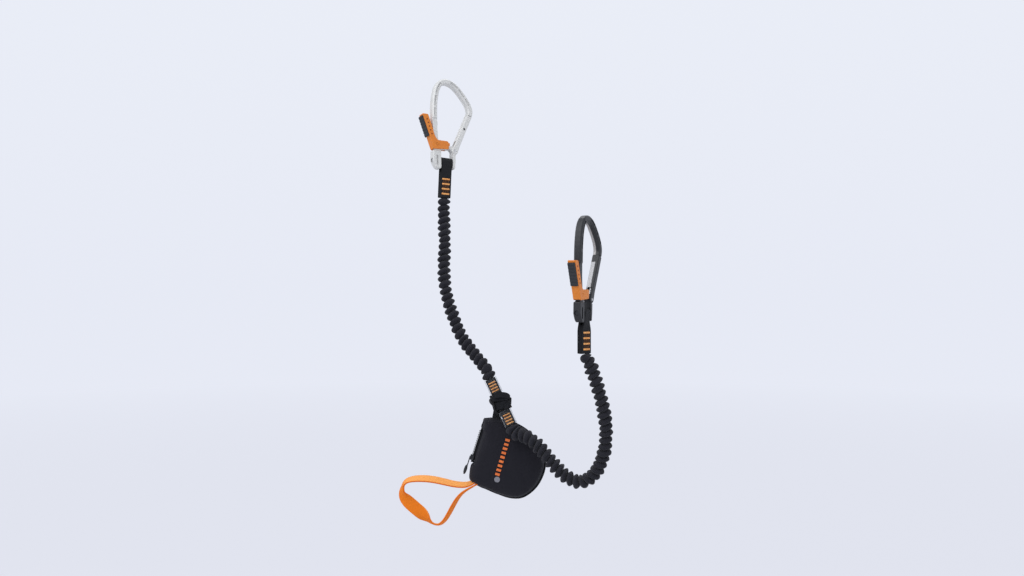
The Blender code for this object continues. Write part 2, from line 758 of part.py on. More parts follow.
def build_gate(name, empty_obj, material):
    half = BAR_DEPTH / 2
    slot = GATE_SLOT_DEPTH / 2
    _, _, length = gate_frame()
    gate = place(plate(name, gate_outline(), half, LEG_EDGE), empty_obj, material)
    join(gate, plate(name + " ears", ear_outline(), slot + EAR_THICKNESS))
    side = EAR_REACH + OVERRUN
    slot_outline = [
        on_gate(-side, -side), on_gate(GATE_SLOT_LENGTH, -side), on_gate(GATE_SLOT_LENGTH, side),
        on_gate(-side, side),
    ]
    lip = NOSE_LIP_LENGTH + LIP_SLOT_CLEARANCE
    lip_outline = [
        on_gate(length - lip, -GATE_WIDTH), on_gate(length + OVERRUN, -GATE_WIDTH),
        on_gate(length + OVERRUN, LIP_SLOT_CLEARANCE), on_gate(length - lip, LIP_SLOT_CLEARANCE),
    ]
    bore_start = on_gate(GATE_SLOT_LENGTH - TRIM, 0)
    bore_end = on_gate(GATE_BORE_END, 0)
    rivet = on_gate(GATE_RIVET_ALONG, 0)
    cut(
        gate,
        plate(name + " slot", [tuple(p) for p in slot_outline], slot),
        plate(name + " lip slot", [tuple(p) for p in lip_outline], NOSE_LIP_DEPTH / 2 + LIP_SLOT_CLEARANCE),
        rod(name + " spring bore", PLUNGER_RADIUS + SEAT,
            (bore_start.x, 0, bore_start.y), (bore_end.x, 0, bore_end.y)),
        through_rod(name + " pin bore", GATE_PIN_RADIUS + SEAT, GATE_PIVOT_U, GATE_PIVOT_W),
        through_rod(name + " rivet bore", GATE_RIVET_RADIUS + SEAT, rivet.x, rivet.y),
    )
    return gate


def lever_point(u, w):
    return (LEVER_PIVOT_U + u, LEVER_PIVOT_W + w)


def lever_outer(w):
    """How far out the lever's outer face stands at a height above its pin."""
    share = (w + LEVER_HEEL_DROP) / (LEVER_REACH + LEVER_HEEL_DROP)
    return -(LEVER_HEEL_OUT + share * (LEVER_TOP_OUT - LEVER_HEEL_OUT))


def lever_outline():
    return rounded([
        lever_point(-LEVER_TOP_OUT, LEVER_REACH), lever_point(-LEVER_TOP_IN, LEVER_REACH),
        lever_point(-LEVER_THROAT, LEVER_THROAT_RISE), lever_point(LEVER_BEND, LEVER_ARM_RISE),
        lever_point(LEVER_ARM - TRIM, LEVER_ARM_RISE), lever_point(LEVER_ARM, LEVER_ARM_RISE - TRIM * 2),
        lever_point(LEVER_ARM, -LEVER_ARM_DROP), lever_point(-LEVER_HEEL_OUT, -LEVER_HEEL_DROP),
    ], LEVER_CORNER)


def build_lever(name, empty_obj):
    half = LEVER_DEPTH / 2
    inside = half - LEVER_CHEEK
    lever = place(plate(name, lever_outline(), half, LEVER_EDGE), empty_obj, "lever_orange")
    top = LEVER_REACH - LEVER_WEB
    cap = LEVER_CAP - LEVER_TOP_OUT
    over = LEVER_REACH + OVERRUN
    under_arm = LEVER_ARM_RISE - LEVER_WEB
    deep = LEVER_HEEL_DROP * 2
    right = LEVER_THROAT_RISE
    wall = LEVER_ARM - PUSHER_WALL
    channel = [
        lever_point(lever_outer(top) + LEVER_WEB, top), lever_point(cap, top),
        lever_point(cap, over), lever_point(right, over), lever_point(right, LEVER_ARM_RISE + TRIM),
        lever_point(ARM_WEB_START, LEVER_ARM_RISE + TRIM),
        lever_point(ARM_WEB_START, under_arm), lever_point(wall, under_arm),
        lever_point(wall, -deep), lever_point(lever_outer(0) - deep, -deep),
        lever_point(lever_outer(0) - deep, LEVER_WEB_END),
        lever_point(lever_outer(LEVER_WEB_END) + LEVER_WEB, LEVER_WEB_END),
    ]
    pusher = [
        lever_point(wall - TRIM, -PUSHER_SEAM), lever_point(LEVER_ARM + PUSHER_REACH, -PUSHER_SEAM),
        lever_point(LEVER_ARM + PUSHER_REACH, LEVER_ARM_RISE - TRIM * 2),
        lever_point(wall - TRIM, LEVER_ARM_RISE - TRIM * 2),
    ]
    slot = [
        lever_point(0, -deep), lever_point(LEVER_ARM * 2, -deep), lever_point(LEVER_ARM * 2, under_arm),
        lever_point(0, under_arm),
    ]
    below = [
        lever_point(0, -deep), lever_point(LEVER_ARM * 2, -deep), lever_point(LEVER_ARM * 2, -PUSHER_SEAM),
        lever_point(0, -PUSHER_SEAM),
    ]
    cut(lever, plate(name + " channel", channel, inside))
    join(lever, plate(name + " pusher", pusher, inside + SEAT))
    cut(
        lever,
        plate(name + " pusher slot", slot, TONGUE_DEPTH / 2 + SEAT),
        plate(name + " pusher foot", below, inside - PUSHER_SEAM),
        through_rod(name + " pin bore", LEVER_PIN_RADIUS + SEAT, LEVER_PIVOT_U, LEVER_PIVOT_W),
    )
    return lever


def build_pad(name, empty_obj):
    """Ridged grip pad on the lever's outer face."""
    low = LEVER_REACH * PAD_FROM_SHARE
    high = LEVER_REACH * PAD_TO_SHARE
    slant = math.atan2(LEVER_TOP_OUT - LEVER_HEEL_OUT, LEVER_REACH + LEVER_HEEL_DROP)
    out = Vector((-math.cos(slant), -math.sin(slant)))

    def off_face(w, distance):
        return tuple(Vector(lever_point(lever_outer(w), w)) + out * distance)

    inner = [off_face(low, SEAT), off_face(high, SEAT)]
    outer = []
    for step in range(PAD_RIDGES * 2, -1, -1):
        w = low + (high - low) * step / (PAD_RIDGES * 2)
        rise = PAD_THICKNESS + (PAD_RIDGE if step % 2 else 0.0)
        outer.append(off_face(w, rise + SEAT))
    return place(plate(name, inner + outer, PAD_DEPTH / 2), empty_obj, "grip_rubber")


def coil(name, radius, wire, pitch, turns, start, axis):
    """A plain coil of wire on a POLY spline."""
    axis = Vector(axis).normalized()
    side = axis.orthogonal().normalized()
    other = axis.cross(side)
    points = []
    for step in range(int(turns * SPRING_POINTS) + 1):
        angle = 2 * math.pi * step / SPRING_POINTS
        rise = pitch * step / SPRING_POINTS
        points.append(
            Vector(start) + axis * rise + side * radius * math.cos(angle) + other * radius * math.sin(angle)
        )
    print(f"{name}: least gap between turns {(pitch - wire) / MM:.2f} mm")
    return tube(name, points, wire / 2, resolution=1)


def tube(name, points, radius, radii=None, resolution=2):
    curve = bpy.data.curves.new(name, "CURVE")
    curve.dimensions = "3D"
    curve.bevel_depth = radius
    curve.bevel_resolution = resolution
    curve.use_fill_caps = True
    spline = curve.splines.new("POLY")
    spline.points.add(len(points) - 1)
    for index, (target, point) in enumerate(zip(spline.points, points)):
        target.co = (*point, 1)
        target.radius = radii[index] / radius if radii else 1.0
    return mesh_from_curve(name, curve, Matrix())


def stance(turn_deg, lean_deg, roll_deg):
    """How a carabiner stands: turned about the vertical, leant back, then rolled in the front view."""
    return (
        Matrix.Rotation(math.radians(roll_deg), 4, "Y")
        @ Matrix.Rotation(math.radians(lean_deg), 4, "X")
        @ Matrix.Rotation(math.radians(turn_deg), 4, "Z")
    )


def hanging(carabiner_stance):
    """The same stance swung about the eye pin, until webbing on the pin hangs down."""
    depth_axis, height_axis = carabiner_stance.col[1], carabiner_stance.col[2]
    swing = math.atan2(-depth_axis.z, height_axis.z)
    return carabiner_stance @ Matrix.Rotation(swing, 4, "X")


def build_carabiner(side, material, eye, carabiner_stance):
    """One carabiner about its eye pin. Its stance is the empty's rotation."""
    hub = empty(f"{side}_eye_axis", eye, carabiner_stance.to_euler())
    half = BAR_DEPTH / 2
    build_frame(f"{side}_frame", hub, material)
    gate_material = "silver" if material == "silver" else "steel"
    build_gate(f"{side}_gate", hub, gate_material)
    build_lever(f"{side}_palm_lever", hub)
    build_pad(f"{side}_grip_pad", hub)
    left = -WEBBING_WIDTH / 2 - LEG_GAP - LEFT_LEG_WIDTH + TRIM
    right = WEBBING_WIDTH / 2 + LEG_GAP + RIGHT_LEG_WIDTH - TRIM / 2
    place(rod(f"{side}_eye_pin", EYE_PIN_RADIUS, (left, 0, 0), (right, 0, 0)), hub, "steel")
    place(
        cross_pin(f"{side}_gate_pin", GATE_PIN_RADIUS, half, GATE_PIVOT_U, GATE_PIVOT_W), hub, "steel"
    )
    lever_half = LEVER_DEPTH / 2
    place(
        cross_pin(f"{side}_lever_pin", LEVER_PIN_RADIUS, lever_half, LEVER_PIVOT_U, LEVER_PIVOT_W),
        hub, "steel",
    )
    rivet = on_gate(GATE_RIVET_ALONG, 0)
    place(cross_pin(f"{side}_gate_rivet", GATE_RIVET_RADIUS, half, rivet.x, rivet.y), hub, "steel")
    add_springs(side, hub)
    return hub


def cross_pin(name, radius, half, u, w):
    return rod(name, radius, (u, -half, w), (u, half, w))


def add_springs(side, hub):
    first = on_gate(TONGUE_RADIUS + SEAT, 0)
    second = on_gate(TONGUE_RADIUS + SEAT + PLUNGER_LENGTH, 0)
    place(
        rod(f"{side}_gate_plunger", PLUNGER_RADIUS, (first.x, 0, first.y), (second.x, 0, second.y)),
        hub, "steel",
    )
    start = TONGUE_RADIUS + PLUNGER_LENGTH + SEAT * 2 + SPRING_WIRE / 2
    end = GATE_BORE_END - SEAT - SPRING_WIRE / 2
    low = on_gate(start, 0)
    axis = on_gate(end, 0) - low
    spring = coil(
        f"{side}_gate_spring", PLUNGER_RADIUS - SPRING_WIRE / 2, SPRING_WIRE,
        axis.length / GATE_SPRING_TURNS, GATE_SPRING_TURNS, (low.x, 0, low.y), (axis.x, 0, axis.y),
    )
    place(spring, hub, "steel")
    front = -CHEEK_ZONE_DEPTH / 2 + LEVER_COIL_WIRE / 2
    lever_spring = coil(
        f"{side}_lever_spring", LEVER_COIL_RADIUS, LEVER_COIL_WIRE, LEVER_COIL_PITCH, LEVER_COIL_TURNS,
        (LEVER_PIVOT_U, front, LEVER_PIVOT_W), (0, 1, 0),
    )
    place(lever_spring, hub, "steel")


def eye_outline():
    """Side view of the sewn eye: a loop round the pin that closes to the sewn stack."""
    outer = EYE_PIN_RADIUS + SEAT + EYE_WALL
    half = SEWN_THICKNESS / 2
    return [
        *arc((0, 0), outer, *EYE_ARC_DEG, EYE_ARC_STEPS),
        (-half, -EYE_NECK), (-half, -SEWN_LENGTH), (half, -SEWN_LENGTH), (half, -EYE_NECK),
    ]


def build_sewn_end(side, eye, end_stance):
    """The webbing eye that hangs from the eye pin, with its bar tacks."""
    hub = empty(f"{side}_sewn_end", eye, end_stance.to_euler())
    half = WEBBING_WIDTH / 2
    hole = arc((0, 0), EYE_PIN_RADIUS + SEAT, 0, 360, SIDES_ROUND)[:-1]
    eye_solid = outline_solid(
        f"{side}_eye_webbing", [eye_outline(), hole], -half, half, 0.0, SIDEWAYS
    )
    place(eye_solid, hub, "black_webbing")
    half_tack = BAR_TACK_LENGTH / 2
    for label, face in (("front", -1), ("back", 1)):
        comb = comb_outline(
            face, SEWN_THICKNESS / 2 + SEAT, -BAR_TACK_FROM, BAR_TACK_COUNT, BAR_TACK_PITCH,
            BAR_TACK_HEIGHT, BAR_TACK_RISE,
        )
        tacks = outline_solid(f"{side}_bar_tacks_{label}", [comb], -half_tack, half_tack, 0.0, SIDEWAYS)
        place(tacks, hub, "orange_thread")
    return hub


def comb_outline(face, seat, top, count, pitch, height, rise):
    """Raised bars at a steady pitch on a thin ground of stitches, drawn from the side."""
    ground = seat + rise * THREAD_GROUND_SHARE
    crest = seat + rise
    points = [(face * seat, top + height / 2)]
    for index in range(count):
        middle = top - index * pitch
        points += [(face * crest, middle + height / 2), (face * crest, middle - height / 2)]
        if index + 1 < count:
            points += [(face * ground, middle - height / 2), (face * ground, middle - pitch + height / 2)]
    points.append((face * seat, top - (count - 1) * pitch - height / 2))
    return points


def arm_path(start, start_along, middle, end, end_along):
    """Smooth route of an arm, with a straight run of one diameter at both ends."""
    points = [
        start, start + start_along * ARM_STRAIGHT / 2, start + start_along * ARM_STRAIGHT,
        *(Vector(point) * MM for point in middle),
        end - end_along * ARM_STRAIGHT, end - end_along * ARM_STRAIGHT / 2, end,
    ]
    return smooth_path(points, ARM_SAMPLES)


def build_arm(side, path):
    """Gathered sleeve: a ribbed tube whose ribs are points of unlike radius, with its bore."""
    lengths = length_along(path)
    ribs = round(lengths[-1] / ARM_RIB_PITCH)
    points = []
    radii = []
    for step in range(ribs * 2 + 1):
        points.append(point_at(path, lengths, lengths[-1] * step / (ribs * 2)))
        radii.append(ARM_RADIUS if step % 2 else ARM_VALLEY_RADIUS)
    arm = place(tube(f"{side}_arm", points, ARM_RADIUS, radii), None, "black_webbing")
    steps = round(lengths[-1] / CORE_SPACING)
    core = [point_at(path, lengths, lengths[-1] * step / steps) for step in range(steps + 1)]
    first = core[0] + (core[0] - core[1]).normalized() * OVERRUN
    last = core[-1] + (core[-1] - core[-2]).normalized() * OVERRUN
    cut(arm, tube(f"{side}_arm bore", [first, *core[1:-1], last], ARM_BORE_RADIUS))
    place(tube(f"{side}_elastic_core", core, CORE_RADIUS), None, "elastic")
    print(f"{side} arm: {ribs} ribs over {lengths[-1] / MM:.0f} mm")


def yoke_axes():
    down = (YOKE_FOOT - YOKE_TOP).normalized()
    right = down.cross(Vector((0, 1, 0))).normalized()
    back = right.cross(down)
    return right, back, down


def build_yoke():
    """Flat webbing between the arms, its sewn ends, clear sleeves and the girth hitch."""
    right, back, down = yoke_axes()
    turn = Matrix((right, back, -down)).transposed()
    hub = empty("yoke", YOKE_TOP, turn.to_euler())
    length = (YOKE_FOOT - YOKE_TOP).length
    webbing = outline_solid(
        "yoke_webbing", [box_outline(YOKE_WIDTH, YOKE_THICKNESS, WEBBING_EDGE)], -length + SEAT, -SEAT
    )
    place(webbing, hub, "black_webbing")
    for side, start in (("silver", SEAT * 2), ("black", length - SLEEVE_LENGTH - SEAT * 2)):
        add_lower_end(side, hub, start)
    return hub, length


def add_lower_end(side, hub, start):
    half_tack = YOKE_TACK_LENGTH / 2
    for label, face in (("front", -1), ("back", 1)):
        comb = comb_outline(
            face, YOKE_THICKNESS / 2 + SEAT, -start - YOKE_TACK_FROM, BAR_TACK_COUNT, YOKE_TACK_PITCH,
            YOKE_TACK_HEIGHT, YOKE_TACK_RISE,
        )
        tacks = outline_solid(
            f"{side}_lower_tacks_{label}", [comb], -half_tack, half_tack, 0.0, SIDEWAYS
        )
        place(tacks, hub, "orange_thread")
    room = (YOKE_TACK_RISE + SEAT * 2) * 2
    bore = box_outline(YOKE_WIDTH + SEAT * 2, YOKE_THICKNESS + room, SLEEVE_CORNER)
    outer = box_outline(
        YOKE_WIDTH + SEAT * 2 + SLEEVE_WALL * 2, YOKE_THICKNESS + room + SLEEVE_WALL * 2, SLEEVE_CORNER
    )
    sleeve = outline_solid(
        f"{side}_clear_sleeve", [outer, bore], -start - SLEEVE_LENGTH, -start
    )
    place(sleeve, hub, "clear_sleeve")


def ribbon(name, stations, width, thickness):
    """Loft flat webbing along stations of (place, turn of its face to the front in degrees)."""
    rings = []
    for index, (point, turn_deg) in enumerate(stations):
        before = stations[max(index - 1, 0)][0]
        after = stations[min(index + 1, len(stations) - 1)][0]
        along = (after - before).normalized()
        level = (Vector((0, 1, 0)) - along * along.y).normalized()
        normal = along.cross(level)
        turn = math.radians(turn_deg)
        wide = level * math.cos(turn) + normal * math.sin(turn)
        thick = along.cross(wide)
        ring = []
        for a, b in box_outline(width, thickness, thickness * RIBBON_EDGE_SHARE, 1):
            ring.append(point + wide * a + thick * b)
        rings.append(ring)
    return loft(name, rings)


def route_stations(route, spacing):
    """Smooth a hand-chosen route of places and turns, then space it evenly."""
    rows = [Vector((*(Vector(point) * MM), turn)) for point, turn in route]
    dense = smooth_path(rows, LOOP_SAMPLES)
    places = [row.xyz for row in dense]
    lengths = length_along(places)
    count = round(lengths[-1] / spacing)
    stations = []
    for step in range(count + 1):
        distance = lengths[-1] * step / count
        index = next((i for i, at in enumerate(lengths) if at >= distance), len(lengths) - 1)
        stations.append((point_at(places, lengths, distance), dense[index].w))
    return stations


def build_strap(hub, length):
    """Absorber strap: two wraps round the yoke, the bight across them, and the legs."""
    reach = STRAP_THICKNESS + SEAT
    inner = box_outline(YOKE_WIDTH + SEAT * 2, YOKE_THICKNESS + SEAT * 2, WEBBING_EDGE)
    outer = box_outline(YOKE_WIDTH + reach * 2, YOKE_THICKNESS + reach * 2, YOKE_THICKNESS)
    centre = -length / 2
    gap = HITCH_BAND_GAP / 2
    upper = outline_solid(
        "absorber_strap", [outer, inner], centre + gap, centre + gap + HITCH_BAND
    )
    strap = place(upper, hub, "black_webbing")
    lower = outline_solid("strap lower wrap", [outer, inner], centre - gap - HITCH_BAND, centre - gap)
    front = -YOKE_THICKNESS / 2 - reach
    side = -YOKE_WIDTH / 2
    bight = outline_solid(
        "strap bight",
        [rounded([
            (side - BIGHT_OUT, front - STRAP_THICKNESS), (side + BIGHT_WIDTH, front - STRAP_THICKNESS),
            (side + BIGHT_WIDTH, front + TRIM), (side - BIGHT_CLEARANCE, front + TRIM),
            (side - BIGHT_CLEARANCE, -front), (side - BIGHT_OUT, -front),
        ], TRIM)],
        centre - gap - HITCH_BAND, centre + gap + HITCH_BAND,
    )
    join(strap, lower, bight)
    return strap


def strap_leg_stations(hub_matrix, length):
    """Route of the strap from under the hitch down into the pouch."""
    start = hub_matrix @ Vector((-STRAP_LEG_ASIDE, STRAP_LEG_BACK, -length / 2))
    pack_top = PACK_CENTRE.z + FOLD_LENGTH / 2 + FOLD_PITCH / 2 + FOLD_THICKNESS / 2 + SEAT
    mouth = Vector((MOUTH_CENTRE_X, 0.0, POUCH_FOOT + POUCH_HEIGHT))
    end = Vector((MOUTH_CENTRE_X, 0.0, pack_top))
    middle = start.lerp(mouth, 0.5) + Vector((0, TRIM, 0))
    points = [start, middle, mouth, mouth.lerp(end, 0.5), end]
    return [(point, 90.0) for point in smooth_path(points, STRAP_SAMPLES)]


def pouch_outline():
    points = [
        (POUCH_LEFT + x * POUCH_WIDTH, POUCH_FOOT + z * POUCH_HEIGHT) for x, z in POUCH_OUTLINE_SHARES
    ]
    return smooth_path(points, POUCH_SAMPLES, closed=True)


def pouch_centre(outline):
    total = Vector((0, 0))
    for point in outline:
        total += point
    return total / len(outline)


def build_pouch_shell(name, side):
    """One dished panel of the pouch, from its seam to its crown."""
    outline = pouch_outline()
    centre = pouch_centre(outline)
    bm = bmesh.new()
    rings = []
    for inset, rise in POUCH_RING_SHARES:
        depth = side * (POUCH_SEAM + rise * (POUCH_DEPTH - POUCH_SEAM))
        ring = [point.lerp(centre, inset) for point in outline]
        rings.append([bm.verts.new((point.x, depth, point.y)) for point in ring])
    count = len(outline)
    for first, second in zip(rings, rings[1:]):
        for index in range(count):
            following = (index + 1) % count
            bm.faces.new((first[index], first[following], second[following], second[index]))
    middle = bm.verts.new((centre.x, side * POUCH_DEPTH, centre.y))
    for index in range(count):
        bm.faces.new((rings[-1][index], rings[-1][(index + 1) % count], middle))
    shell = object_from(name, bm)
    if shell.data.polygons[0].normal.y * side < 0:
        shell.data.flip_normals()
    wall = shell.modifiers.new("wall", "SOLIDIFY")
    wall.thickness = POUCH_WALL
    wall.offset = -1.0
    place(shell, None, "pouch_fabric")
    cut(shell, strap_mouth(name), loop_mouth(name))
    return shell


def strap_mouth(name):
    half_width = STRAP_WIDTH / 2 + MOUTH_CLEARANCE
    half_depth = STRAP_THICKNESS + MOUTH_CLEARANCE
    top = POUCH_FOOT + POUCH_HEIGHT + OVERRUN * 2
    return block(
        name + " strap mouth",
        (MOUTH_CENTRE_X - half_width, -half_depth, top - MOUTH_LENGTH),
        (MOUTH_CENTRE_X + half_width, half_depth, top),
    )


def loop_mouth(name):
    """Opening for the two legs of the harness loop at the pouch's lower left."""
    half_depth = LOOP_WIDTH / 2 + LOOP_MOUTH_CLEARANCE
    start = Vector(LOOP_ROUTE[0][0]) * MM
    end = Vector(LOOP_ROUTE[-1][0]) * MM
    return block(
        name + " loop mouth",
        (POUCH_LEFT - OVERRUN, -half_depth, end.z - LOOP_MOUTH_BELOW),
        (start.x - LOOP_WIDTH / 2, half_depth, start.z + LOOP_MOUTH_ABOVE),
    )


def build_binding():
    """Piping on the seam round the pouch's lower right rim."""
    outline = pouch_outline()
    centre = pouch_centre(outline)
    count = len(outline)
    first, last = (round(share * count) for share in BINDING_SPAN_SHARES)
    out = BINDING_RADIUS + SEAT * 2
    points = []
    for point in outline[first:last + 1]:
        away = (point - centre).normalized()
        points.append(Vector((point.x + away.x * out, 0, point.y + away.y * out)))
    place(tube("pouch_binding", points, BINDING_RADIUS), None, "grip_rubber")


def pouch_point(share):
    return Vector((POUCH_LEFT + share[0] * POUCH_WIDTH, 0, POUCH_FOOT + share[1] * POUCH_HEIGHT))


def build_zip():
    """Zip on the slanted edge: x points out of the pouch and z up the zip."""
    foot = pouch_point(ZIP_FOOT_SHARES)
    head = pouch_point(ZIP_HEAD_SHARES)
    along = (head - foot).normalized()
    out = Vector((-along.z, 0, along.x))
    turn = Matrix((out, along.cross(out), along)).transposed()
    hub = empty("zip_line", foot + out * (ZIP_TAPE_WIDTH / 2 + SEAT * 2), turn.to_euler())
    length = (head - foot).length
    tape = outline_solid(
        "zip_tape", [box_outline(ZIP_TAPE_WIDTH, ZIP_TAPE_THICKNESS, ZIP_TAPE_EDGE)], 0, length
    )
    place(tape, hub, "zip_plastic")
    count = int((length - TOOTH_PITCH) / TOOTH_PITCH)
    comb = comb_outline(
        1, ZIP_TAPE_WIDTH / 2 + SEAT, count * TOOTH_PITCH, count, TOOTH_PITCH, TOOTH_LENGTH, TOOTH_RISE
    )
    teeth = outline_solid("zip_teeth", [comb], -TOOTH_WIDTH / 2, TOOTH_WIDTH / 2, 0.0, UPRIGHT)
    place(teeth, hub, "zip_plastic")
    build_slider(hub)


def build_slider(hub):
    """Slider that straddles the teeth and tape edge, with its pull hanging from it."""
    room = max(TOOTH_WIDTH, ZIP_TAPE_THICKNESS) / 2 + SEAT
    plate_out = room + SLIDER_PLATE
    right = ZIP_TAPE_WIDTH / 2 + SEAT + TOOTH_RISE + SEAT
    left = right - SLIDER_WIDTH + SLIDER_PLATE
    channel = [
        (left, -plate_out), (right + SLIDER_PLATE, -plate_out), (right + SLIDER_PLATE, plate_out),
        (left, plate_out), (left, room), (right, room), (right, -room), (left, -room),
    ]
    low = TOOTH_PITCH
    slider = place(outline_solid("zip_slider", [channel], low, low + SLIDER_LENGTH), hub, "steel")
    pull_top = low + SLIDER_LENGTH * PULL_TOP_SHARE
    near = right + SLIDER_PLATE / 2
    far = near + PULL_THICKNESS
    half = PULL_WIDTH / 2
    pull = outline_solid(
        "zip pull blade", [[(near, -half), (far, -half), (far, half), (near, half)]],
        pull_top - PULL_LENGTH, pull_top,
    )
    join(slider, pull)


def strip_outline(path, thickness):
    """Closed outline of a strip of even thickness along a flat path."""
    left = []
    right = []
    for index, point in enumerate(path):
        before = path[max(index - 1, 0)]
        after = path[min(index + 1, len(path) - 1)]
        along = (after - before).normalized()
        across = Vector((-along.y, along.x)) * thickness / 2
        left.append(tuple(point + across))
        right.append(tuple(point - across))
    return left + right[::-1]


def build_absorber():
    """Tear webbing folded to and fro, with an elastic band round the stack."""
    half = FOLD_LENGTH / 2
    radius = FOLD_PITCH / 2
    start_y = -FOLD_PITCH * (FOLD_COUNT - 1) / 2
    path = []
    for fold in range(FOLD_COUNT):
        y = start_y + fold * FOLD_PITCH
        up = 1 if fold % 2 == 0 else -1
        path.append(Vector((y, -half * up)))
        path.append(Vector((y, half * up)))
        if fold + 1 < FOLD_COUNT:
            turn = arc((y + radius, half * up), radius, 180, 180 - 180 * up, FOLD_TURN_STEPS)
            path += [Vector(point) for point in turn[1:-1]]
    hub = empty("absorber_pack", PACK_CENTRE)
    half_width = FOLD_WIDTH / 2
    webbing = outline_solid(
        "tear_webbing", [strip_outline(path, FOLD_THICKNESS)], -half_width, half_width, 0.0, SIDEWAYS
    )
    place(webbing, hub, "black_webbing")
    stack = FOLD_PITCH * (FOLD_COUNT - 1) + FOLD_THICKNESS
    inner = box_outline(FOLD_WIDTH + SEAT * 2, stack + SEAT * 2, TRIM)
    outer = box_outline(FOLD_WIDTH + SEAT * 2 + BAND_WALL * 2, stack + SEAT * 2 + BAND_WALL * 2, TRIM * 2)
    band = outline_solid("absorber_band", [outer, inner], -BAND_HEIGHT / 2, BAND_HEIGHT / 2)
    place(band, hub, "elastic")


def build_harness_loop():
    stations = route_stations(LOOP_ROUTE, LOOP_SPACING)
    place(ribbon("harness_loop", stations, LOOP_WIDTH, LOOP_THICKNESS), None, "orange_webbing")


def main():
    silver_eye = Vector((SILVER_EYE_ACROSS, SILVER_EYE_BACK, SILVER_EYE_HEIGHT))
    black_eye = Vector((BLACK_EYE_ACROSS, BLACK_EYE_BACK, BLACK_EYE_HEIGHT))
    silver_stance = stance(SILVER_TURN_DEG, SILVER_LEAN_DEG, SILVER_ROLL_DEG)
    black_stance = stance(BLACK_TURN_DEG, BLACK_LEAN_DEG, BLACK_ROLL_DEG)
    build_carabiner("silver", "silver", silver_eye, silver_stance)
    build_carabiner("black", "graphite", black_eye, black_stance)
    build_sewn_end("silver", silver_eye, hanging(silver_stance))
    build_sewn_end("black", black_eye, hanging(black_stance))
    hub, length = build_yoke()
    _, _, along = yoke_axes()
    bpy.context.view_layer.update()
    silver_down = -hanging(silver_stance).col[2].xyz
    black_down = -hanging(black_stance).col[2].xyz
    silver_start = silver_eye + silver_down * (SEWN_LENGTH + SEAT)
    build_arm("silver", arm_path(silver_start, silver_down, SILVER_ARM_ROUTE, YOKE_TOP, along))
    black_end = black_eye + black_down * (SEWN_LENGTH + SEAT)
    build_arm("black", arm_path(YOKE_FOOT, along, BLACK_ARM_ROUTE, black_end, -black_down))
    strap = build_strap(hub, length)
    route = strap_leg_stations(hub.matrix_world, length)
    legs = ribbon("strap legs", route, STRAP_WIDTH, STRAP_THICKNESS * 2)
    legs.data.transform(hub.matrix_world.inverted())
    join(strap, legs)
    build_pouch_shell("pouch_front", -1)
    build_pouch_shell("pouch_back", 1)
    build_binding()
    build_zip()
    build_absorber()
    build_harness_loop()


main()
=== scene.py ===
# %% [markdown]
# # A via ferrata lanyard
# A climber clips this set to a steel cable. Two carabiners with palm levers stand on two arms of gathered
# webbing. The arms meet at a short yoke above a zipped pouch, and an orange loop ties the pouch to a
# harness. The metal and plastic parts come from the CAD model as they are. Everything that is sewn or woven
# is made here, since cloth needs a shape and a surface that a plain solid doesn't have.

# %% Load the frame
import math

import bpy
import numpy as np
from mathutils import Matrix, Vector


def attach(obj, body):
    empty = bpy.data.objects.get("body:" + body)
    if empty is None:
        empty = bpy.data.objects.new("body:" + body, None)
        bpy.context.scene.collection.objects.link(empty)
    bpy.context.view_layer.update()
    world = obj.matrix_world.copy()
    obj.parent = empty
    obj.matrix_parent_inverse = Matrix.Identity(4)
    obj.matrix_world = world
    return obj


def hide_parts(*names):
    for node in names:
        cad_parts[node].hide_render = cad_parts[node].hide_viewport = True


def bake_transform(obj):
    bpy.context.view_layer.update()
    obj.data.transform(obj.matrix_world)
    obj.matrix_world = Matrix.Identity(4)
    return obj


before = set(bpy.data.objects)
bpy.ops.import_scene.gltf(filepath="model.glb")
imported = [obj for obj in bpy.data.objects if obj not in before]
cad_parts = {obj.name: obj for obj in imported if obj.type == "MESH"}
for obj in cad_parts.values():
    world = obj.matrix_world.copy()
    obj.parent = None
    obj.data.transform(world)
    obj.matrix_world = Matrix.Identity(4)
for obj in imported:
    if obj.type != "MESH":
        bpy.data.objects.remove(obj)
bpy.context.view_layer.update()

# %% [markdown]
# ## Camera
# The photograph is 1024 by 576, and looks level at the set from about 1.2 m. A camera looks along its own
# -Z, so turning it a quarter turn about X makes it look along +Y.

# %% Add the camera
CAMERA_PLACE = (0.1317, -1.2, 0.244)
LENS, SENSOR_WIDTH, SEES_TO = 35.24, 36.0, 20.0
bpy.ops.object.select_all(action="DESELECT")
bpy.ops.object.camera_add(location=CAMERA_PLACE, rotation=(math.radians(90), 0, 0))
camera = bpy.context.object
camera.data.lens = LENS
camera.data.sensor_width = SENSOR_WIDTH
camera.data.clip_end = SEES_TO
bpy.context.scene.camera = camera
bpy.context.scene.view_settings.view_transform = "Standard"
print("camera at", tuple(round(x, 3) for x in camera.location))

# %% [markdown]
# ## Routes
# A strap or a cord is a short section carried along a route. The route is a few given points, and a
# Catmull-Rom curve goes smoothly through them. Points spaced evenly along it keep the weave even.

# %% Curves through points
MM = 0.001


def smooth(points, samples=8):
    """Catmull-Rom curve through the points, ends included."""
    places = [np.array(point, float) for point in points]
    places = [places[0] * 2 - places[1], *places, places[-1] * 2 - places[-2]]
    made = []
    for a, b, c, d in zip(places, places[1:], places[2:], places[3:]):
        for step in range(samples):
            t = step / samples
            made.append((b * 2 + (c - a) * t + (a * 2 - b * 5 + c * 4 - d) * t * t
                         + (b * 3 - a - c * 3 + d) * t ** 3) / 2)
    return np.array(made + [places[-2]])


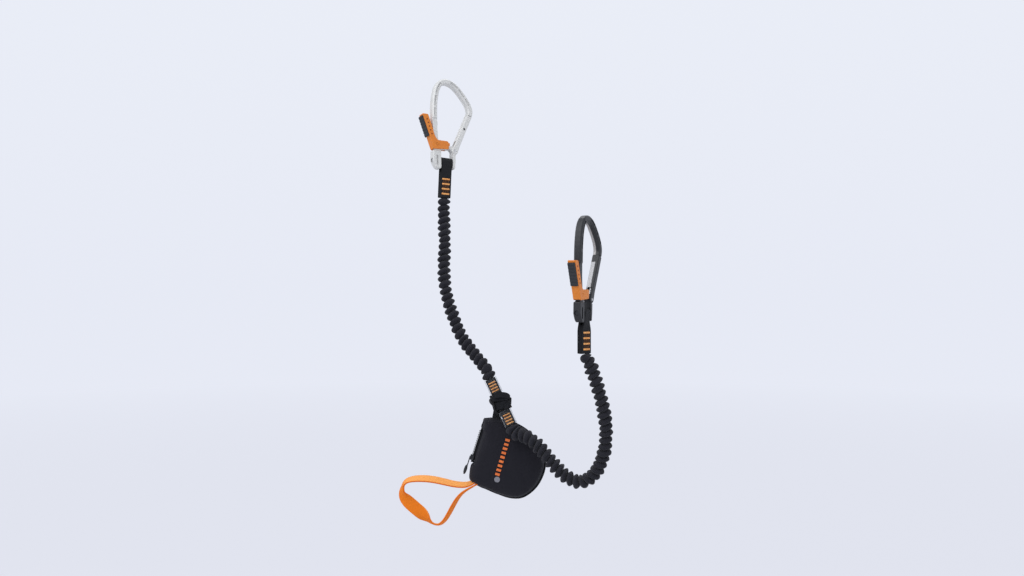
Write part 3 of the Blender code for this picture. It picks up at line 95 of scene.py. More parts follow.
def evenly(path, spacing):
    """The same path with points about spacing apart. Extra columns, such as a turn, go with them."""
    steps = np.linalg.norm(np.diff(path[:, :3], axis=0), axis=1)
    along = np.concatenate([[0.0], np.cumsum(steps)])
    wanted = np.linspace(0.0, along[-1], max(2, round(along[-1] / spacing) + 1))
    return np.stack([np.interp(wanted, along, path[:, i]) for i in range(path.shape[1])], axis=1)


def path_length(path):
    """Length of a path, in the unit of its points."""
    return np.linalg.norm(np.diff(path[:, :3], axis=0), axis=1).sum()


def unit(vector):
    return vector / np.linalg.norm(vector)


def directions(path):
    return np.array([unit(d) for d in np.gradient(path[:, :3], axis=0)])


def around(sides):
    """Angles once round a circle. The last is a full turn, so it meets the first."""
    return np.linspace(0, 2 * math.pi, sides + 1)


# %% [markdown]
# ## Grids that become cloth
# Nearly every sewn piece starts as Blender's own grid primitive. Its rows are carried to their places on
# the route, so the grid's UV map is the cloth's own flat pattern. The map is scaled to millimetres, and
# one weave then has the right size on every strap.

# %% Grid helpers
def deselect():
    if bpy.context.mode != "OBJECT":
        bpy.ops.object.mode_set(mode="OBJECT")
    bpy.ops.object.select_all(action="DESELECT")


def select_only(piece):
    deselect()
    piece.select_set(True)
    bpy.context.view_layer.objects.active = piece


def cloth_grid(name, rows, uv_width, uv_length):
    """A grid whose rows of points are given, with a UV map in millimetres."""
    rows = np.array(rows, float)
    across, along = rows.shape[1] - 1, rows.shape[0] - 1
    deselect()
    bpy.ops.mesh.primitive_grid_add(x_subdivisions=across, y_subdivisions=along, size=1, calc_uvs=True)
    grid = bpy.context.object
    grid.name = grid.data.name = name
    grid.data.vertices.foreach_set("co", rows.reshape(-1))
    layer = grid.data.uv_layers.active.data
    flat = np.empty(len(layer) * 2)
    layer.foreach_get("uv", flat)
    flat = flat.reshape(-1, 2) * [uv_width / MM, uv_length / MM]
    layer.foreach_set("uv", flat.reshape(-1))
    grid.data.update()
    return grid


def apply_all(piece):
    select_only(piece)
    for modifier in list(piece.modifiers):
        bpy.ops.object.modifier_apply(modifier=modifier.name)


def smooth_faces(piece, angle):
    select_only(piece)
    bpy.ops.object.shade_smooth_by_angle(angle=math.radians(angle))


# %% [markdown]
# Cloth has a wall, which Solidify gives to a flat grid. Small hard pieces get their rounded edges from
# Bevel. A tube is a grid whose rows go round it, so its two long sides are welded and its open rims are
# filled.

# %% Walls, edges and closed tubes
WELD = 0.00001


def walled(piece, thickness, offset):
    """Gives cloth a wall: below its face at -1, to both sides at 0 and above it at 1."""
    wall = piece.modifiers.new("wall", "SOLIDIFY")
    wall.thickness = thickness
    wall.offset = offset
    wall.use_even_offset = False


def bevelled(piece, width, segments):
    """Rounds the edges of a small hard piece."""
    edge = piece.modifiers.new("edge", "BEVEL")
    edge.width = width
    edge.segments = segments
    apply_all(piece)


def mend(piece):
    """Welds doubled points, and turns the faces of a closed shape outwards."""
    select_only(piece)
    bpy.ops.object.mode_set(mode="EDIT")
    bpy.ops.mesh.select_all(action="SELECT")
    bpy.ops.mesh.remove_doubles(threshold=WELD)
    bpy.ops.mesh.select_all(action="SELECT")
    bpy.ops.mesh.normals_make_consistent(inside=False)
    bpy.ops.object.mode_set(mode="OBJECT")


def close_ends(piece):
    """Fills the open rims of a tube."""
    select_only(piece)
    bpy.ops.object.mode_set(mode="EDIT")
    bpy.ops.mesh.select_all(action="DESELECT")
    bpy.ops.mesh.select_mode(type="EDGE")
    bpy.ops.mesh.select_non_manifold()
    bpy.ops.mesh.fill_holes(sides=0)
    bpy.ops.mesh.select_mode(type="VERT")
    bpy.ops.object.mode_set(mode="OBJECT")


def closed_tube(name, rows, uv_width, uv_length):
    """A tube from rows of points that go round it."""
    tube = cloth_grid(name, rows, uv_width, uv_length)
    mend(tube)
    close_ends(tube)
    mend(tube)
    smooth_faces(tube, 80)
    return tube


# %% [markdown]
# ## How the two ends stand
# Each carabiner is turned about the vertical, leant back and rolled a little, as it was laid for the
# picture. The webbing on its eye pin hangs straight down, so its frame is the same one swung about the pin.

# %% Frames of the eyes
def stance(turn, lean, roll):
    return (
        Matrix.Rotation(math.radians(roll), 3, "Y") @ Matrix.Rotation(math.radians(lean), 3, "X")
        @ Matrix.Rotation(math.radians(turn), 3, "Z")
    )


def hanging(pose):
    swing = math.atan2(-pose.col[1].z, pose.col[2].z)
    return pose @ Matrix.Rotation(swing, 3, "X")


EYES = {"silver": np.array((48.0, 64.8, 403.1)), "black": np.array((212.5, -78.0, 216.4))}
STANCES = {"silver": stance(33, -9, -2.5), "black": stance(61, 0, 0)}
hangs = {side: np.array(hanging(pose)) for side, pose in STANCES.items()}
eye_across = {side: hang[:, 0] for side, hang in hangs.items()}
eye_back = {side: hang[:, 1] for side, hang in hangs.items()}
eye_up = {side: hang[:, 2] for side, hang in hangs.items()}
print("webbing hangs along", {side: [round(float(x), 2) for x in up] for side, up in eye_up.items()})

# %% [markdown]
# ## Nodes in code
# A material is a tree of nodes. Adding a node and linking it takes several lines each time, so a few small
# helpers do it. An input takes either a plain value or the output of another node.

# %% Node helpers
def feed(tree, socket, value):
    """Links a socket from another node's output, or sets it to a plain value."""
    if isinstance(value, bpy.types.NodeSocket):
        tree.links.new(value, socket)
    else:
        socket.default_value = value


def feed_all(tree, node, **inputs):
    """Feeds a node's inputs by name. An underscore stands for a space."""
    for label, value in inputs.items():
        feed(tree, node.inputs[label.replace("_", " ")], value)
    return node


def add_node(tree, kind, **inputs):
    """Adds a node and feeds its inputs."""
    return feed_all(tree, tree.nodes.new(kind), **inputs)


def calc(tree, operation, *values):
    """A Math node."""
    node = tree.nodes.new("ShaderNodeMath")
    node.operation = operation
    for socket, value in zip(node.inputs, values):
        feed(tree, socket, value)
    return node.outputs[0]


def product(tree, first, *others):
    """All the values multiplied together."""
    for value in others:
        first = calc(tree, "MULTIPLY", first, value)
    return first


def blended(tree, share, first, second):
    """A Mix node for colours. Its inputs 0, 6 and 7 are the share and the two colours."""
    node = tree.nodes.new("ShaderNodeMix")
    node.data_type = "RGBA"
    for index, value in ((0, share), (6, first), (7, second)):
        feed(tree, node.inputs[index], (*value, 1.0) if isinstance(value, tuple) else value)
    return node.outputs[2]


def between_values(tree, value, low, high):
    """0 below low, 1 above high and a soft edge between them."""
    ramp = add_node(tree, "ShaderNodeMapRange", Value=value, From_Min=low, From_Max=high)
    return ramp.outputs["Result"]


# %% [markdown]
# ## Shared surface effects
# Woven cloth shows ribs that run with the strap and picks that cross them. Both come from sines of the UV
# map, so they follow every bend. The group is built once, and each strap sets its own thread sizes.

# %% Weave group
def new_group(name, inputs, outputs):
    """A node group that puts out numbers. An input without a starting value is a vector."""
    group = bpy.data.node_groups.new(name, "ShaderNodeTree")
    for label, value in inputs.items():
        kind = "NodeSocketVector" if value is None else "NodeSocketFloat"
        socket = group.interface.new_socket(name=label, in_out="INPUT", socket_type=kind)
        if value is not None:
            socket.default_value = value
    for label in outputs:
        group.interface.new_socket(name=label, in_out="OUTPUT", socket_type="NodeSocketFloat")
    return group, group.nodes.new("NodeGroupInput"), group.nodes.new("NodeGroupOutput")


def humps(tree, value):
    """A wave with one hump for each whole step of the value."""
    return calc(tree, "ABSOLUTE", calc(tree, "SINE", product(tree, value, math.pi)))


HALF_PICK, PICK_RELIEF, RIB_RELIEF = 0.5, 0.55, 0.45
LINT_SCALE, LINT_DETAIL = 0.35, 4.0
weave, ins, outs = new_group("weave", {"Vector": None, "Rib": 0.9, "Pick": 0.7}, ("Height", "Fuzz"))
split = add_node(weave, "ShaderNodeSeparateXYZ", Vector=ins.outputs["Vector"])
rib_at = calc(weave, "DIVIDE", split.outputs["X"], ins.outputs["Rib"])
pick_at = calc(weave, "DIVIDE", split.outputs["Y"], ins.outputs["Pick"])
odd_rib = calc(weave, "FLOORED_MODULO", calc(weave, "FLOOR", rib_at), 2.0)
shifted = calc(weave, "ADD", pick_at, product(weave, odd_rib, HALF_PICK))
picks = calc(weave, "ADD", product(weave, humps(weave, shifted), PICK_RELIEF), RIB_RELIEF)
height = product(weave, humps(weave, rib_at), picks)
lint = add_node(
    weave, "ShaderNodeTexNoise", Vector=ins.outputs["Vector"], Scale=LINT_SCALE, Detail=LINT_DETAIL,
)
feed_all(weave, outs, Height=height, Fuzz=product(weave, lint.outputs["Fac"], height))
print("weave group:", len(weave.nodes), "nodes")

# %% [markdown]
# Metal and plastic share another group: a fine grain for the bump, and a slow cloud that varies colour and
# roughness a little, as on handled parts. Its third output is a mask of rubbed patches. It reads Object
# coordinates, which every piece has.

# %% Grain group
RUBBED_FROM, RUBBED_TO = 0.58, 0.72
grain, ins, outs = new_group("grain", {"Fine": 2500.0, "Broad": 40.0}, ("Height", "Cloud", "Rub"))
place = grain.nodes.new("ShaderNodeTexCoord").outputs["Object"]
for label, scale, detail in (("Height", "Fine", 2.0), ("Cloud", "Broad", 5.0)):
    texture = add_node(grain, "ShaderNodeTexNoise", Vector=place, Scale=ins.outputs[scale], Detail=detail)
    feed(grain, outs.inputs[label], texture.outputs["Fac"])
scuffs = add_node(grain, "ShaderNodeTexNoise", Vector=place, Scale=260.0, Detail=8.0, Distortion=1.5)
rub = between_values(grain, scuffs.outputs["Fac"], RUBBED_FROM, RUBBED_TO)
feed(grain, outs.inputs["Rub"], rub)
print("grain group:", len(grain.nodes), "nodes")

# %% [markdown]
# ## Materials
# Each finish keeps its own Principled shader. Plain numbers such as sheen and coat are set on the shader
# itself, and only what varies over the surface is linked.

# %% Shader helpers
def new_material(name, colour, roughness, metallic=0.0, **plain):
    """A Principled material, with its node tree and its shader."""
    made = bpy.data.materials.new(name)
    made.use_nodes = True
    tree = made.node_tree
    shader = tree.nodes["Principled BSDF"]
    feed_all(tree, shader, Base_Color=(*colour, 1.0), Roughness=roughness, Metallic=metallic, **plain)
    return made, tree, shader


def use_group(tree, group, **values):
    node = tree.nodes.new("ShaderNodeGroup")
    node.node_tree = group
    return feed_all(tree, node, **values)


def bump(tree, shader, height, strength, distance):
    """Makes a surface look raised where the height is. It doesn't move the mesh."""
    relief = add_node(tree, "ShaderNodeBump", Strength=strength, Distance=distance, Height=height)
    feed_all(tree, shader, Normal=relief.outputs["Normal"])


# %% [markdown]
# Cloth: the valleys between threads are painted darker than the crowns, as shade, and a little lint lies on
# top. Sheen gives the soft light rim that fibres have. The orange strap is thin and lets light through, so
# what faces up is painted paler, as light from above. Ribs and picks are in millimetres, and the depth of
# the threads is in metres, as Bump wants it.

# %% Cloth finishes
LINT_SHARE, TOP_LIGHT_SHARE = 0.35, 0.8
LINT_PALER, LINT_GREY = 1.5, 0.006
FACES_UP_FROM = 0.1


def woven(name, deep, crown, rib, pick, depth, roughness=0.85, sheen=0.04, painted_top_light=None, relief=0.7):
    """Cloth from the colours of its valleys, painted darker as shade, and of its crowns, with a paler
    colour painted on what faces up, as light from above, if one is given.
    """
    made, tree, shader = new_material(
        name, crown, roughness, Sheen_Weight=sheen, Sheen_Roughness=0.5, Specular_IOR_Level=0.2,
    )
    where = tree.nodes.new("ShaderNodeTexCoord")
    threads = use_group(tree, weave, Rib=rib, Pick=pick, Vector=where.outputs["UV"])
    # Painted shade: the valleys between threads take the deep colour, and the crowns take the paler one.
    body = blended(tree, threads.outputs["Height"], deep, crown)
    lint_colour = tuple(min(1.0, c * LINT_PALER + LINT_GREY) for c in crown)
    body = blended(tree, product(tree, threads.outputs["Fuzz"], LINT_SHARE), body, lint_colour)
    # Painted light: faces that point up blend toward the paler colour, for light from above shining through
    # the thin strap.
    if painted_top_light:
        facing = add_node(tree, "ShaderNodeSeparateXYZ", Vector=where.outputs["Normal"])
        lit = between_values(tree, facing.outputs["Z"], FACES_UP_FROM, 1.0)
        body = blended(tree, product(tree, lit, TOP_LIGHT_SHARE), body, painted_top_light)
    feed_all(tree, shader, Base_Color=body)
    bump(tree, shader, threads.outputs["Height"], relief, depth)
    return made


black_webbing = woven(
    "black_webbing_woven", (0.005, 0.0054, 0.0066), (0.0225, 0.0235, 0.0285), rib=1.0, pick=0.8,
    depth=0.00025,
)
gathered_webbing = woven(
    "gathered_webbing", (0.0038, 0.0038, 0.0056), (0.0238, 0.024, 0.0345), rib=0.8, pick=0.7, depth=0.0002,
    sheen=0.1,
)
hitch_webbing = woven(
    "hitch_webbing", (0.0025, 0.0028, 0.0038), (0.013, 0.014, 0.019), rib=1.0, pick=0.8, depth=0.0003,
)
# The paler colour on the orange strap's upward faces is painted light from above.
orange_webbing = woven(
    "orange_webbing_woven", (0.78, 0.15, 0.006), (0.96, 0.25, 0.015), rib=1.1, pick=0.8, depth=0.00012,
    roughness=0.75, sheen=0.0, painted_top_light=(1.0, 0.46, 0.13), relief=0.35,
)
pouch_cloth = woven(
    "pouch_cloth", (0.0062, 0.006, 0.009), (0.0175, 0.0172, 0.0255), rib=0.55, pick=0.55, depth=0.00012,
)
binding_cloth = woven(
    "binding_cloth", (0.003, 0.0032, 0.004), (0.01, 0.011, 0.0135), rib=0.8, pick=0.6, depth=0.0002,
)
elastic_cloth = woven(
    "elastic_cloth", (0.25, 0.25, 0.25), (0.55, 0.55, 0.54), rib=0.9, pick=0.7, depth=0.0002,
)
print("seven cloth finishes made")

# %% [markdown]
# Sewing thread has a satin shine, and its passes are too fine to weave. The slow cloud of the grain group
# varies its colour, so that no two passes look quite the same. The bars are orange, and the ground thread
# between them is brown.

# %% Thread finishes
THREAD_DEPTH = 0.0001


def thread_finish(name, colour, roughness, low, high, fine, broad, strength):
    """Thread whose colour wanders from low to high."""
    made, tree, shader = new_material(name, colour, roughness)
    fibres = use_group(tree, grain, Fine=fine, Broad=broad)
    feed_all(tree, shader, Base_Color=blended(tree, fibres.outputs["Cloud"], low, high))
    bump(tree, shader, fibres.outputs["Height"], strength, THREAD_DEPTH)
    return made


thread = thread_finish(
    "orange_thread_satin", (0.88, 0.42, 0.13), 0.5, low=(0.78, 0.24, 0.04), high=(0.98, 0.56, 0.2),
    fine=1800.0, broad=120.0, strength=0.3,
)
ground_thread = thread_finish(
    "brown_ground_thread", (0.16, 0.06, 0.02), 0.7, low=(0.05, 0.02, 0.008), high=(0.2, 0.08, 0.025),
    fine=1500.0, broad=200.0, strength=0.4,
)
print("thread finishes:", thread.name, ground_thread.name)

# %% [markdown]
# Metal and plastic: pins and springs are plain turned steel, the levers are satin orange plastic, rubbed
# paler in patches, and the grips are matt rubber. One function makes them all, since they differ only in
# their numbers.

# %% Metal and plastic finishes
METAL_CLOUD, GRAIN_STRENGTH = 60.0, 0.15
RUBBED_SHARE, ROUGHNESS_SPREAD = 0.4, 0.16


def cloudy(tree, marks, middle, spread):
    """A roughness that wanders about its middle value."""
    return calc(tree, "ADD", product(tree, marks.outputs["Cloud"], spread), middle - spread / 2)


def grained(name, low, high, roughness, metallic=0.0, fine=1800.0, depth=0.00004, wear_and_highlight=None, **plain):
    """Metal or plastic whose colour wanders from low to high, with a grain depth metres deep."""
    made, tree, shader = new_material(name, high, roughness, metallic, **plain)
    marks = use_group(tree, grain, Fine=fine, Broad=METAL_CLOUD)
    colour = blended(tree, marks.outputs["Cloud"], low, high)
    if wear_and_highlight:
        colour = blended(tree, product(tree, marks.outputs["Rub"], RUBBED_SHARE), colour, wear_and_highlight)
    feed_all(tree, shader, Base_Color=colour, Roughness=cloudy(tree, marks, roughness, ROUGHNESS_SPREAD))
    bump(tree, shader, marks.outputs["Height"], GRAIN_STRENGTH, depth)
    return made


turned_steel = grained(
    "turned_steel", (0.45, 0.45, 0.46), (0.66, 0.66, 0.67), roughness=0.32, metallic=0.9, fine=1500.0,
    depth=0.00002,
)
graphite_anodised = grained(
    "graphite_anodised", (0.014, 0.015, 0.018), (0.03, 0.032, 0.038), roughness=0.36, metallic=0.5,
    fine=2600.0, depth=0.00003, wear_and_highlight=(0.1, 0.105, 0.12),
)
orange_lever = grained(
    "orange_lever", (0.72, 0.19, 0.01), (0.8, 0.25, 0.018), roughness=0.45, depth=0.00003,
    wear_and_highlight=(0.9, 0.4, 0.1), Coat_Weight=0.08, Coat_Roughness=0.4,
)
grip_rubber = grained(
    "grip_rubber_matt", (0.012, 0.014, 0.018), (0.03, 0.033, 0.04), roughness=0.75, fine=2200.0,
    depth=0.0001,
)
zip_plastic = grained("zip_plastic_moulded", (0.008, 0.009, 0.01), (0.022, 0.022, 0.026), roughness=0.45)
# Painted shade: the dark colour of the dimple discs on the levers stands in for the shade in their hollows.
painted_dimple_shade = grained("painted_dimple_shade", (0.16, 0.02, 0.004), (0.25, 0.045, 0.008), roughness=0.6, depth=0.00003)
badge_grey = grained("badge_grey", (0.15, 0.15, 0.18), (0.3, 0.3, 0.35), roughness=0.5)
print_orange = grained("print_orange", (0.72, 0.12, 0.015), (0.9, 0.25, 0.06), roughness=0.6)
print("metal and plastic finishes made")

# %% [markdown]
# The carabiners need to know where on themselves they are: the milled pockets get painted shade, and one
# edge of the inner side gets a pale strip of painted highlight. The group gives each point's place and
# facing in the carabiner's own directions: across to the gate, through its thickness, and up from the eye
# pin.

# %% Place on a carabiner
OWN_AXES = ("Across", "Through", "Up")
own_place, ins, outs = new_group(
    "own_place", dict.fromkeys((*OWN_AXES, "Start")),
    (*OWN_AXES, "Facing across", "Facing through", "Facing up"),
)
where = own_place.nodes.new("ShaderNodeTexCoord")
start = add_node(own_place, "ShaderNodeSeparateXYZ", Vector=ins.outputs["Start"])
for label, axis in zip(OWN_AXES, "XYZ"):
    for source, result in (("Object", label), ("Normal", "Facing " + label.lower())):
        along = own_place.nodes.new("ShaderNodeVectorMath")
        along.operation = "DOT_PRODUCT"
        feed(own_place, along.inputs[0], where.outputs[source])
        feed(own_place, along.inputs[1], ins.outputs[label])
        value = along.outputs["Value"]
        if source == "Object":
            value = product(own_place, calc(own_place, "ADD", value, start.outputs[axis]), 1 / MM)
        feed(own_place, outs.inputs[result], value)


def place_on(tree, side, node_name):
    """Adds the group, set for the carabiner that the node belongs to. Its places are in millimetres."""
    world_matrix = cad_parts[node_name].matrix_world
    pose, eye = STANCES[side], Vector(EYES[side] * MM)
    at = use_group(tree, own_place)
    axes = [pose.col[k] for k in range(3)]
    for label, axis in zip(OWN_AXES, axes):
        at.inputs[label].default_value = world_matrix.to_3x3().transposed() @ axis
    at.inputs["Start"].default_value = [(world_matrix.translation - eye) @ axis for axis in axes]
    return at.outputs


print("own_place group:", len(own_place.nodes), "nodes")

# %% [markdown]
# The pale carabiner is bead blasted, so it has a fine even bump and a rough shine. The dark one is
# anodised. On both, the pockets are painted darker, as shade, where the flat sides lie below the outer face
# and clear of the lever, and a thin strip of the inner side is painted pale, as a highlight. A mask goes
# from 0 to 1 between a pair of values, and its lengths are in millimetres.

# %% Carabiner finishes
FLAT_SIDE, IN_POCKET = (0.7, 0.9), (3.75, 3.25)
OVER_LEVER, UNDER_LEVER = (55.0, 57.0), (12.0, 10.0)
FACES_INWARD, OFF_SPINE = (0.25, 0.55), (1.0, 4.0)
STRIP_EDGE, STRIP_TOP_EDGE, STRIP_FOOT_EDGE = 0.7, 1.0, 3.0
BLASTED_SPREAD, BLASTED_STRENGTH, BLASTED_DEPTH = 0.08, 0.02, 0.00001


def carabiner_metal(
    side, part_name, low, high, pocket_shade, wear_and_highlight, inner, from_height, roughness, metallic, to_height=200.0,
    strip_from=0.2,
):
    """Metal with painted shade in its pockets, and a painted highlight in a strip on the far edge of the
    inner side.
    """
    node_name = f"{side}_{part_name}"
    made, tree, shader = new_material(f"{node_name}_metal", high, roughness, metallic)
    marks = use_group(tree, grain, Fine=2400.0, Broad=METAL_CLOUD)
    at = place_on(tree, side, node_name)
    body = blended(tree, marks.outputs["Cloud"], low, high)
    flat = between_values(tree, calc(tree, "ABSOLUTE", at["Facing through"]), *FLAT_SIDE)
    sunk = between_values(tree, calc(tree, "ABSOLUTE", at["Through"]), *IN_POCKET)
    above = between_values(tree, at["Up"], *OVER_LEVER)
    below = between_values(tree, at["Up"], *UNDER_LEVER)
    # Painted shade: the sunk flat sides of the pockets, clear of the lever, get the darker pocket colour.
    body = blended(tree, product(tree, flat, sunk, calc(tree, "MAXIMUM", above, below)), body, pocket_shade)
    # Painted highlight: a pale strip on faces turned inward along the far edge of the inner side.
    facing_across = product(tree, at["Facing across"], inner[0])
    inward = calc(tree, "ADD", facing_across, product(tree, at["Facing up"], inner[1]))
    strip = product(
        tree,
        between_values(tree, inward, *FACES_INWARD),
        between_values(tree, at["Through"], strip_from, strip_from + STRIP_EDGE),
        between_values(tree, at["Up"], to_height + STRIP_TOP_EDGE, to_height),
        between_values(tree, at["Up"], from_height, from_height + STRIP_FOOT_EDGE),
        between_values(tree, at["Across"], *OFF_SPINE),
    )
    rough = cloudy(tree, marks, roughness, BLASTED_SPREAD)
    feed_all(tree, shader, Base_Color=blended(tree, strip, body, wear_and_highlight), Roughness=rough)
    bump(tree, shader, marks.outputs["Height"], BLASTED_STRENGTH, BLASTED_DEPTH)
    return made


SILVER = dict(
    low=(0.67, 0.67, 0.665), high=(0.74, 0.74, 0.735), pocket_shade=(0.44, 0.435, 0.43),
    wear_and_highlight=(0.76, 0.76, 0.75), roughness=0.58, metallic=0.2,
)
GRAPHITE = dict(
    low=(0.009, 0.0095, 0.012), high=(0.018, 0.019, 0.023), pocket_shade=(0.005, 0.005, 0.006),
    roughness=0.4, metallic=0.15,
)
FRAME_STRIP = dict(inner=(-1.0, 0.0), from_height=62.0)
OFF_GATE = (-0.905, 0.425)
carabiner_metals = {
    "silver_frame": carabiner_metal("silver", "frame", **FRAME_STRIP, **SILVER),
    "silver_gate": carabiner_metal("silver", "gate", inner=OFF_GATE, from_height=12.0, **SILVER),
    "black_frame": carabiner_metal("black", "frame", wear_and_highlight=(0.42, 0.4, 0.4), **FRAME_STRIP, **GRAPHITE),
    "black_gate": carabiner_metal(
        "black", "gate", inner=OFF_GATE, from_height=26.0, to_height=57.0, strip_from=-1.2,
        wear_and_highlight=(0.5, 0.5, 0.52), **GRAPHITE,
    ),
}
print(len(carabiner_metals), "carabiner finishes made")

# %% [markdown]
# The clear film lets most light through. Its grey shows mostly at its edges, where it is seen at a slant,
# as a painted reflection, and in streaks from a noise, as painted highlights for the light that creases in
# it catch.

# %% Clear sleeve finish
FILM_IOR, VEIL_SHARE = 1.4, 0.4
STREAK_POWER, STREAK_SHARE = 7.0, 0.9
clear_sleeve, tree, shader = new_material("clear_sleeve_film", (0.5, 0.52, 0.57), 0.16)
film = use_group(tree, grain, Fine=520.0, Broad=160.0)
edge_on = add_node(tree, "ShaderNodeFresnel", IOR=FILM_IOR)
# Painted highlights: streaks where the film's noise is high show more of its grey.
streaks = product(tree, calc(tree, "POWER", film.outputs["Height"], STREAK_POWER), STREAK_SHARE)
# Painted reflection: the film's grey shows more where it is seen at a slant.
veil = product(tree, edge_on.outputs[0], VEIL_SHARE)
feed_all(tree, shader, Alpha=calc(tree, "ADD", veil, streaks))
bump(tree, shader, film.outputs["Height"], 0.35, 0.0005)
print("film finish:", clear_sleeve.name)

# %% [markdown]
# ## Dressing the CAD parts
# A CAD part keeps its shape and only gets a better surface. Its mesh isn't touched.

# %% Assign metal and plastic
FINISHES = {**carabiner_metals, "zip_slider": graphite_anodised, "zip_teeth": zip_plastic}
for side in ("silver", "black"):
    for part_name in ("eye_pin", "gate_pin", "gate_plunger", "gate_spring", "lever_spring"):
        FINISHES[f"{side}_{part_name}"] = turned_steel
    FINISHES[f"{side}_lever_pin"] = orange_lever
    FINISHES[f"{side}_gate_rivet"] = graphite_anodised
    FINISHES[f"{side}_palm_lever"] = orange_lever
    FINISHES[f"{side}_grip_pad"] = grip_rubber
FINISHES["black_eye_pin"] = graphite_anodised
for node_name, finish in FINISHES.items():
    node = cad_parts[node_name]
    node.data.materials.clear()
    node.data.materials.append(finish)
print(len(FINISHES), "CAD parts dressed")

# %% [markdown]
# A piece made here gets its finish too. The CAD solids that it stands for are hidden, and it is parented
# to the body that it moves with, if it has one.

# %% Dress a new piece
def dress(piece, finish, body, slot, *nodes):
    """Gives a finished piece its material and the body that it moves with, and hides the CAD solids it
    stands for.
    """
    piece.data.materials.clear()
    piece.data.materials.append(finish)
    if nodes:
        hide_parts(*nodes)
    if body:
        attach(piece, body)


# %% [markdown]
# ## The elastic arms
# An arm is a woven tube pulled over a shorter elastic, so it gathers into ribs. It runs from a carabiner's
# webbing to the yoke, straight at both ends where it is sewn, and hangs in a loose curve between them. The
# silver arm's route goes down and the black arm's goes from the yoke round the low bend and up.

# %% Where the arms run
YOKE_TOP = np.array((105.5, -4.0, 135.7))
YOKE_FOOT = np.array((131.1, -22.0, 82.2))
yoke_down = unit(YOKE_FOOT - YOKE_TOP)
yoke_right = unit(np.cross(yoke_down, (0, 1, 0)))
yoke_back = np.cross(yoke_right, yoke_down)
SEWN_END, STRAIGHT = 46.3, 15.4
silver_top = EYES["silver"] - eye_up["silver"] * SEWN_END
black_top = EYES["black"] - eye_up["black"] * SEWN_END
silver_route = [
    silver_top, silver_top - eye_up["silver"] * STRAIGHT / 2, silver_top - eye_up["silver"] * STRAIGHT,
    (47.4, 53.0, 304.2), (47.0, 47.0, 276.5), (48.0, 41.0, 253.9), (52.6, 35.0, 229.2), (61.3, 28.0, 204.7),
    (72.6, 20.0, 180.6),
    YOKE_TOP - yoke_down * STRAIGHT, YOKE_TOP - yoke_down * STRAIGHT / 2, YOKE_TOP,
]
black_route = [
    YOKE_FOOT, YOKE_FOOT + yoke_down * STRAIGHT / 3, (138.6, -27.0, 73.2), (146.6, -31.5, 71.2),
    (155.4, -35.5, 66.4), (164.6, -38.5, 57.8), (173.6, -41.0, 47.6), (182.6, -43.5, 37.6),
    (190.4, -45.8, 30.0), (198.8, -48.0, 24.6), (209.7, -51.0, 22.0), (219.8, -54.0, 26.6),
    (228.4, -58.0, 36.5), (234.4, -62.0, 51.7), (237.6, -66.0, 68.4), (237.7, -69.0, 85.8),
    (235.6, -72.0, 103.1), (231.4, -74.5, 121.2), (225.8, -76.0, 139.4), (220.0, -76.0, 156.6),
    black_top - eye_up["black"] * STRAIGHT / 3 + (2.6, 0, 0), black_top + (1.0, 0, 0),
]
print("route points:", len(silver_route), "silver and", len(black_route), "black")

# %% [markdown]
# Under its pin each carabiner's webbing twists a little, the dark one's most. The side directions say how
# the webbing lies at a distance below the pin. The twist starts and ends gently.

# %% Twist of the sewn ends
END_TWISTS = {"silver": math.radians(-6), "black": math.radians(-19)}
TWIST_FROM, TWIST_OVER = 9.0, 13.0


def twisted(side, below):
    """The sewn end's side and back directions at a distance in millimetres below the eye pin."""
    share = min(1.0, max(0.0, (below - TWIST_FROM) / TWIST_OVER))
    angle = END_TWISTS[side] * share * share * (3 - 2 * share)
    across, back = eye_across[side], eye_back[side]
    c, s = math.cos(angle), math.sin(angle)
    return across * c + back * s, back * c - across * s


print("dark webbing's side way at its foot:", twisted("black", SEWN_END)[0].round(2))

# %% [markdown]
# A section that is carried along a curve can spin if each place is worked out alone. Here each side
# direction is the one before it, made square to the path again, and what is left over at the end is shared
# out evenly.

# %% Carry a section along a route
def carried_sides(path, first_side, last_side):
    """A side direction at each point, carried from the first one and turned evenly to meet the last."""
    along = directions(path)
    side = unit(first_side - along[0] * (first_side @ along[0]))
    sides = []
    for d in along:
        side = unit(side - d * (side @ d))
        sides.append(side)
    want = unit(last_side - along[-1] * (last_side @ along[-1]))
    other = np.cross(along[-1], sides[-1])
    left_over = math.atan2(want @ other, want @ sides[-1])
    if left_over > math.pi / 2:
        left_over -= math.pi
    if left_over < -math.pi / 2:
        left_over += math.pi
    turned = []
    for index, (d, side) in enumerate(zip(along, sides)):
        angle = left_over * index / (len(path) - 1)
        turned.append(side * math.cos(angle) + np.cross(d, side) * math.sin(angle))
    return along, np.array(turned)


# %% [markdown]
# Each rib is a soft bulge with a sharp valley beside it, and leans, so that its left and right ends are
# half a rib apart. No two are quite alike, which seeded random numbers give, the same at every run. Near
# its ends the tube is sewn flat. A displaced surface could show ribs too, but not their outline.

# %% Ribbed sleeve
RIB_STEPS, AROUND = 10, 40
CREST, VALLEY, SWELL_POWER = 8.1, 3.9, 0.8
LEAN, SEWN_FLAT, ROUNDER = 1.7, 0.55, 0.35
BULGE_SPREAD, SWING_SPREAD, LEAN_SPREAD = 0.035, 0.35, 0.15
LOBE_HEIGHT, LOBES, LOBE_TURN = 0.04, 3, 4
WRINKLE_HEIGHT, WRINKLES, WRINKLE_TURN = 0.018, 7, 2.4
SEED, FINE_STEP, COURSE_STEP = 7, 0.0005, 4
FLAT_RADIUS, GATHERING = 7.0, 1.5


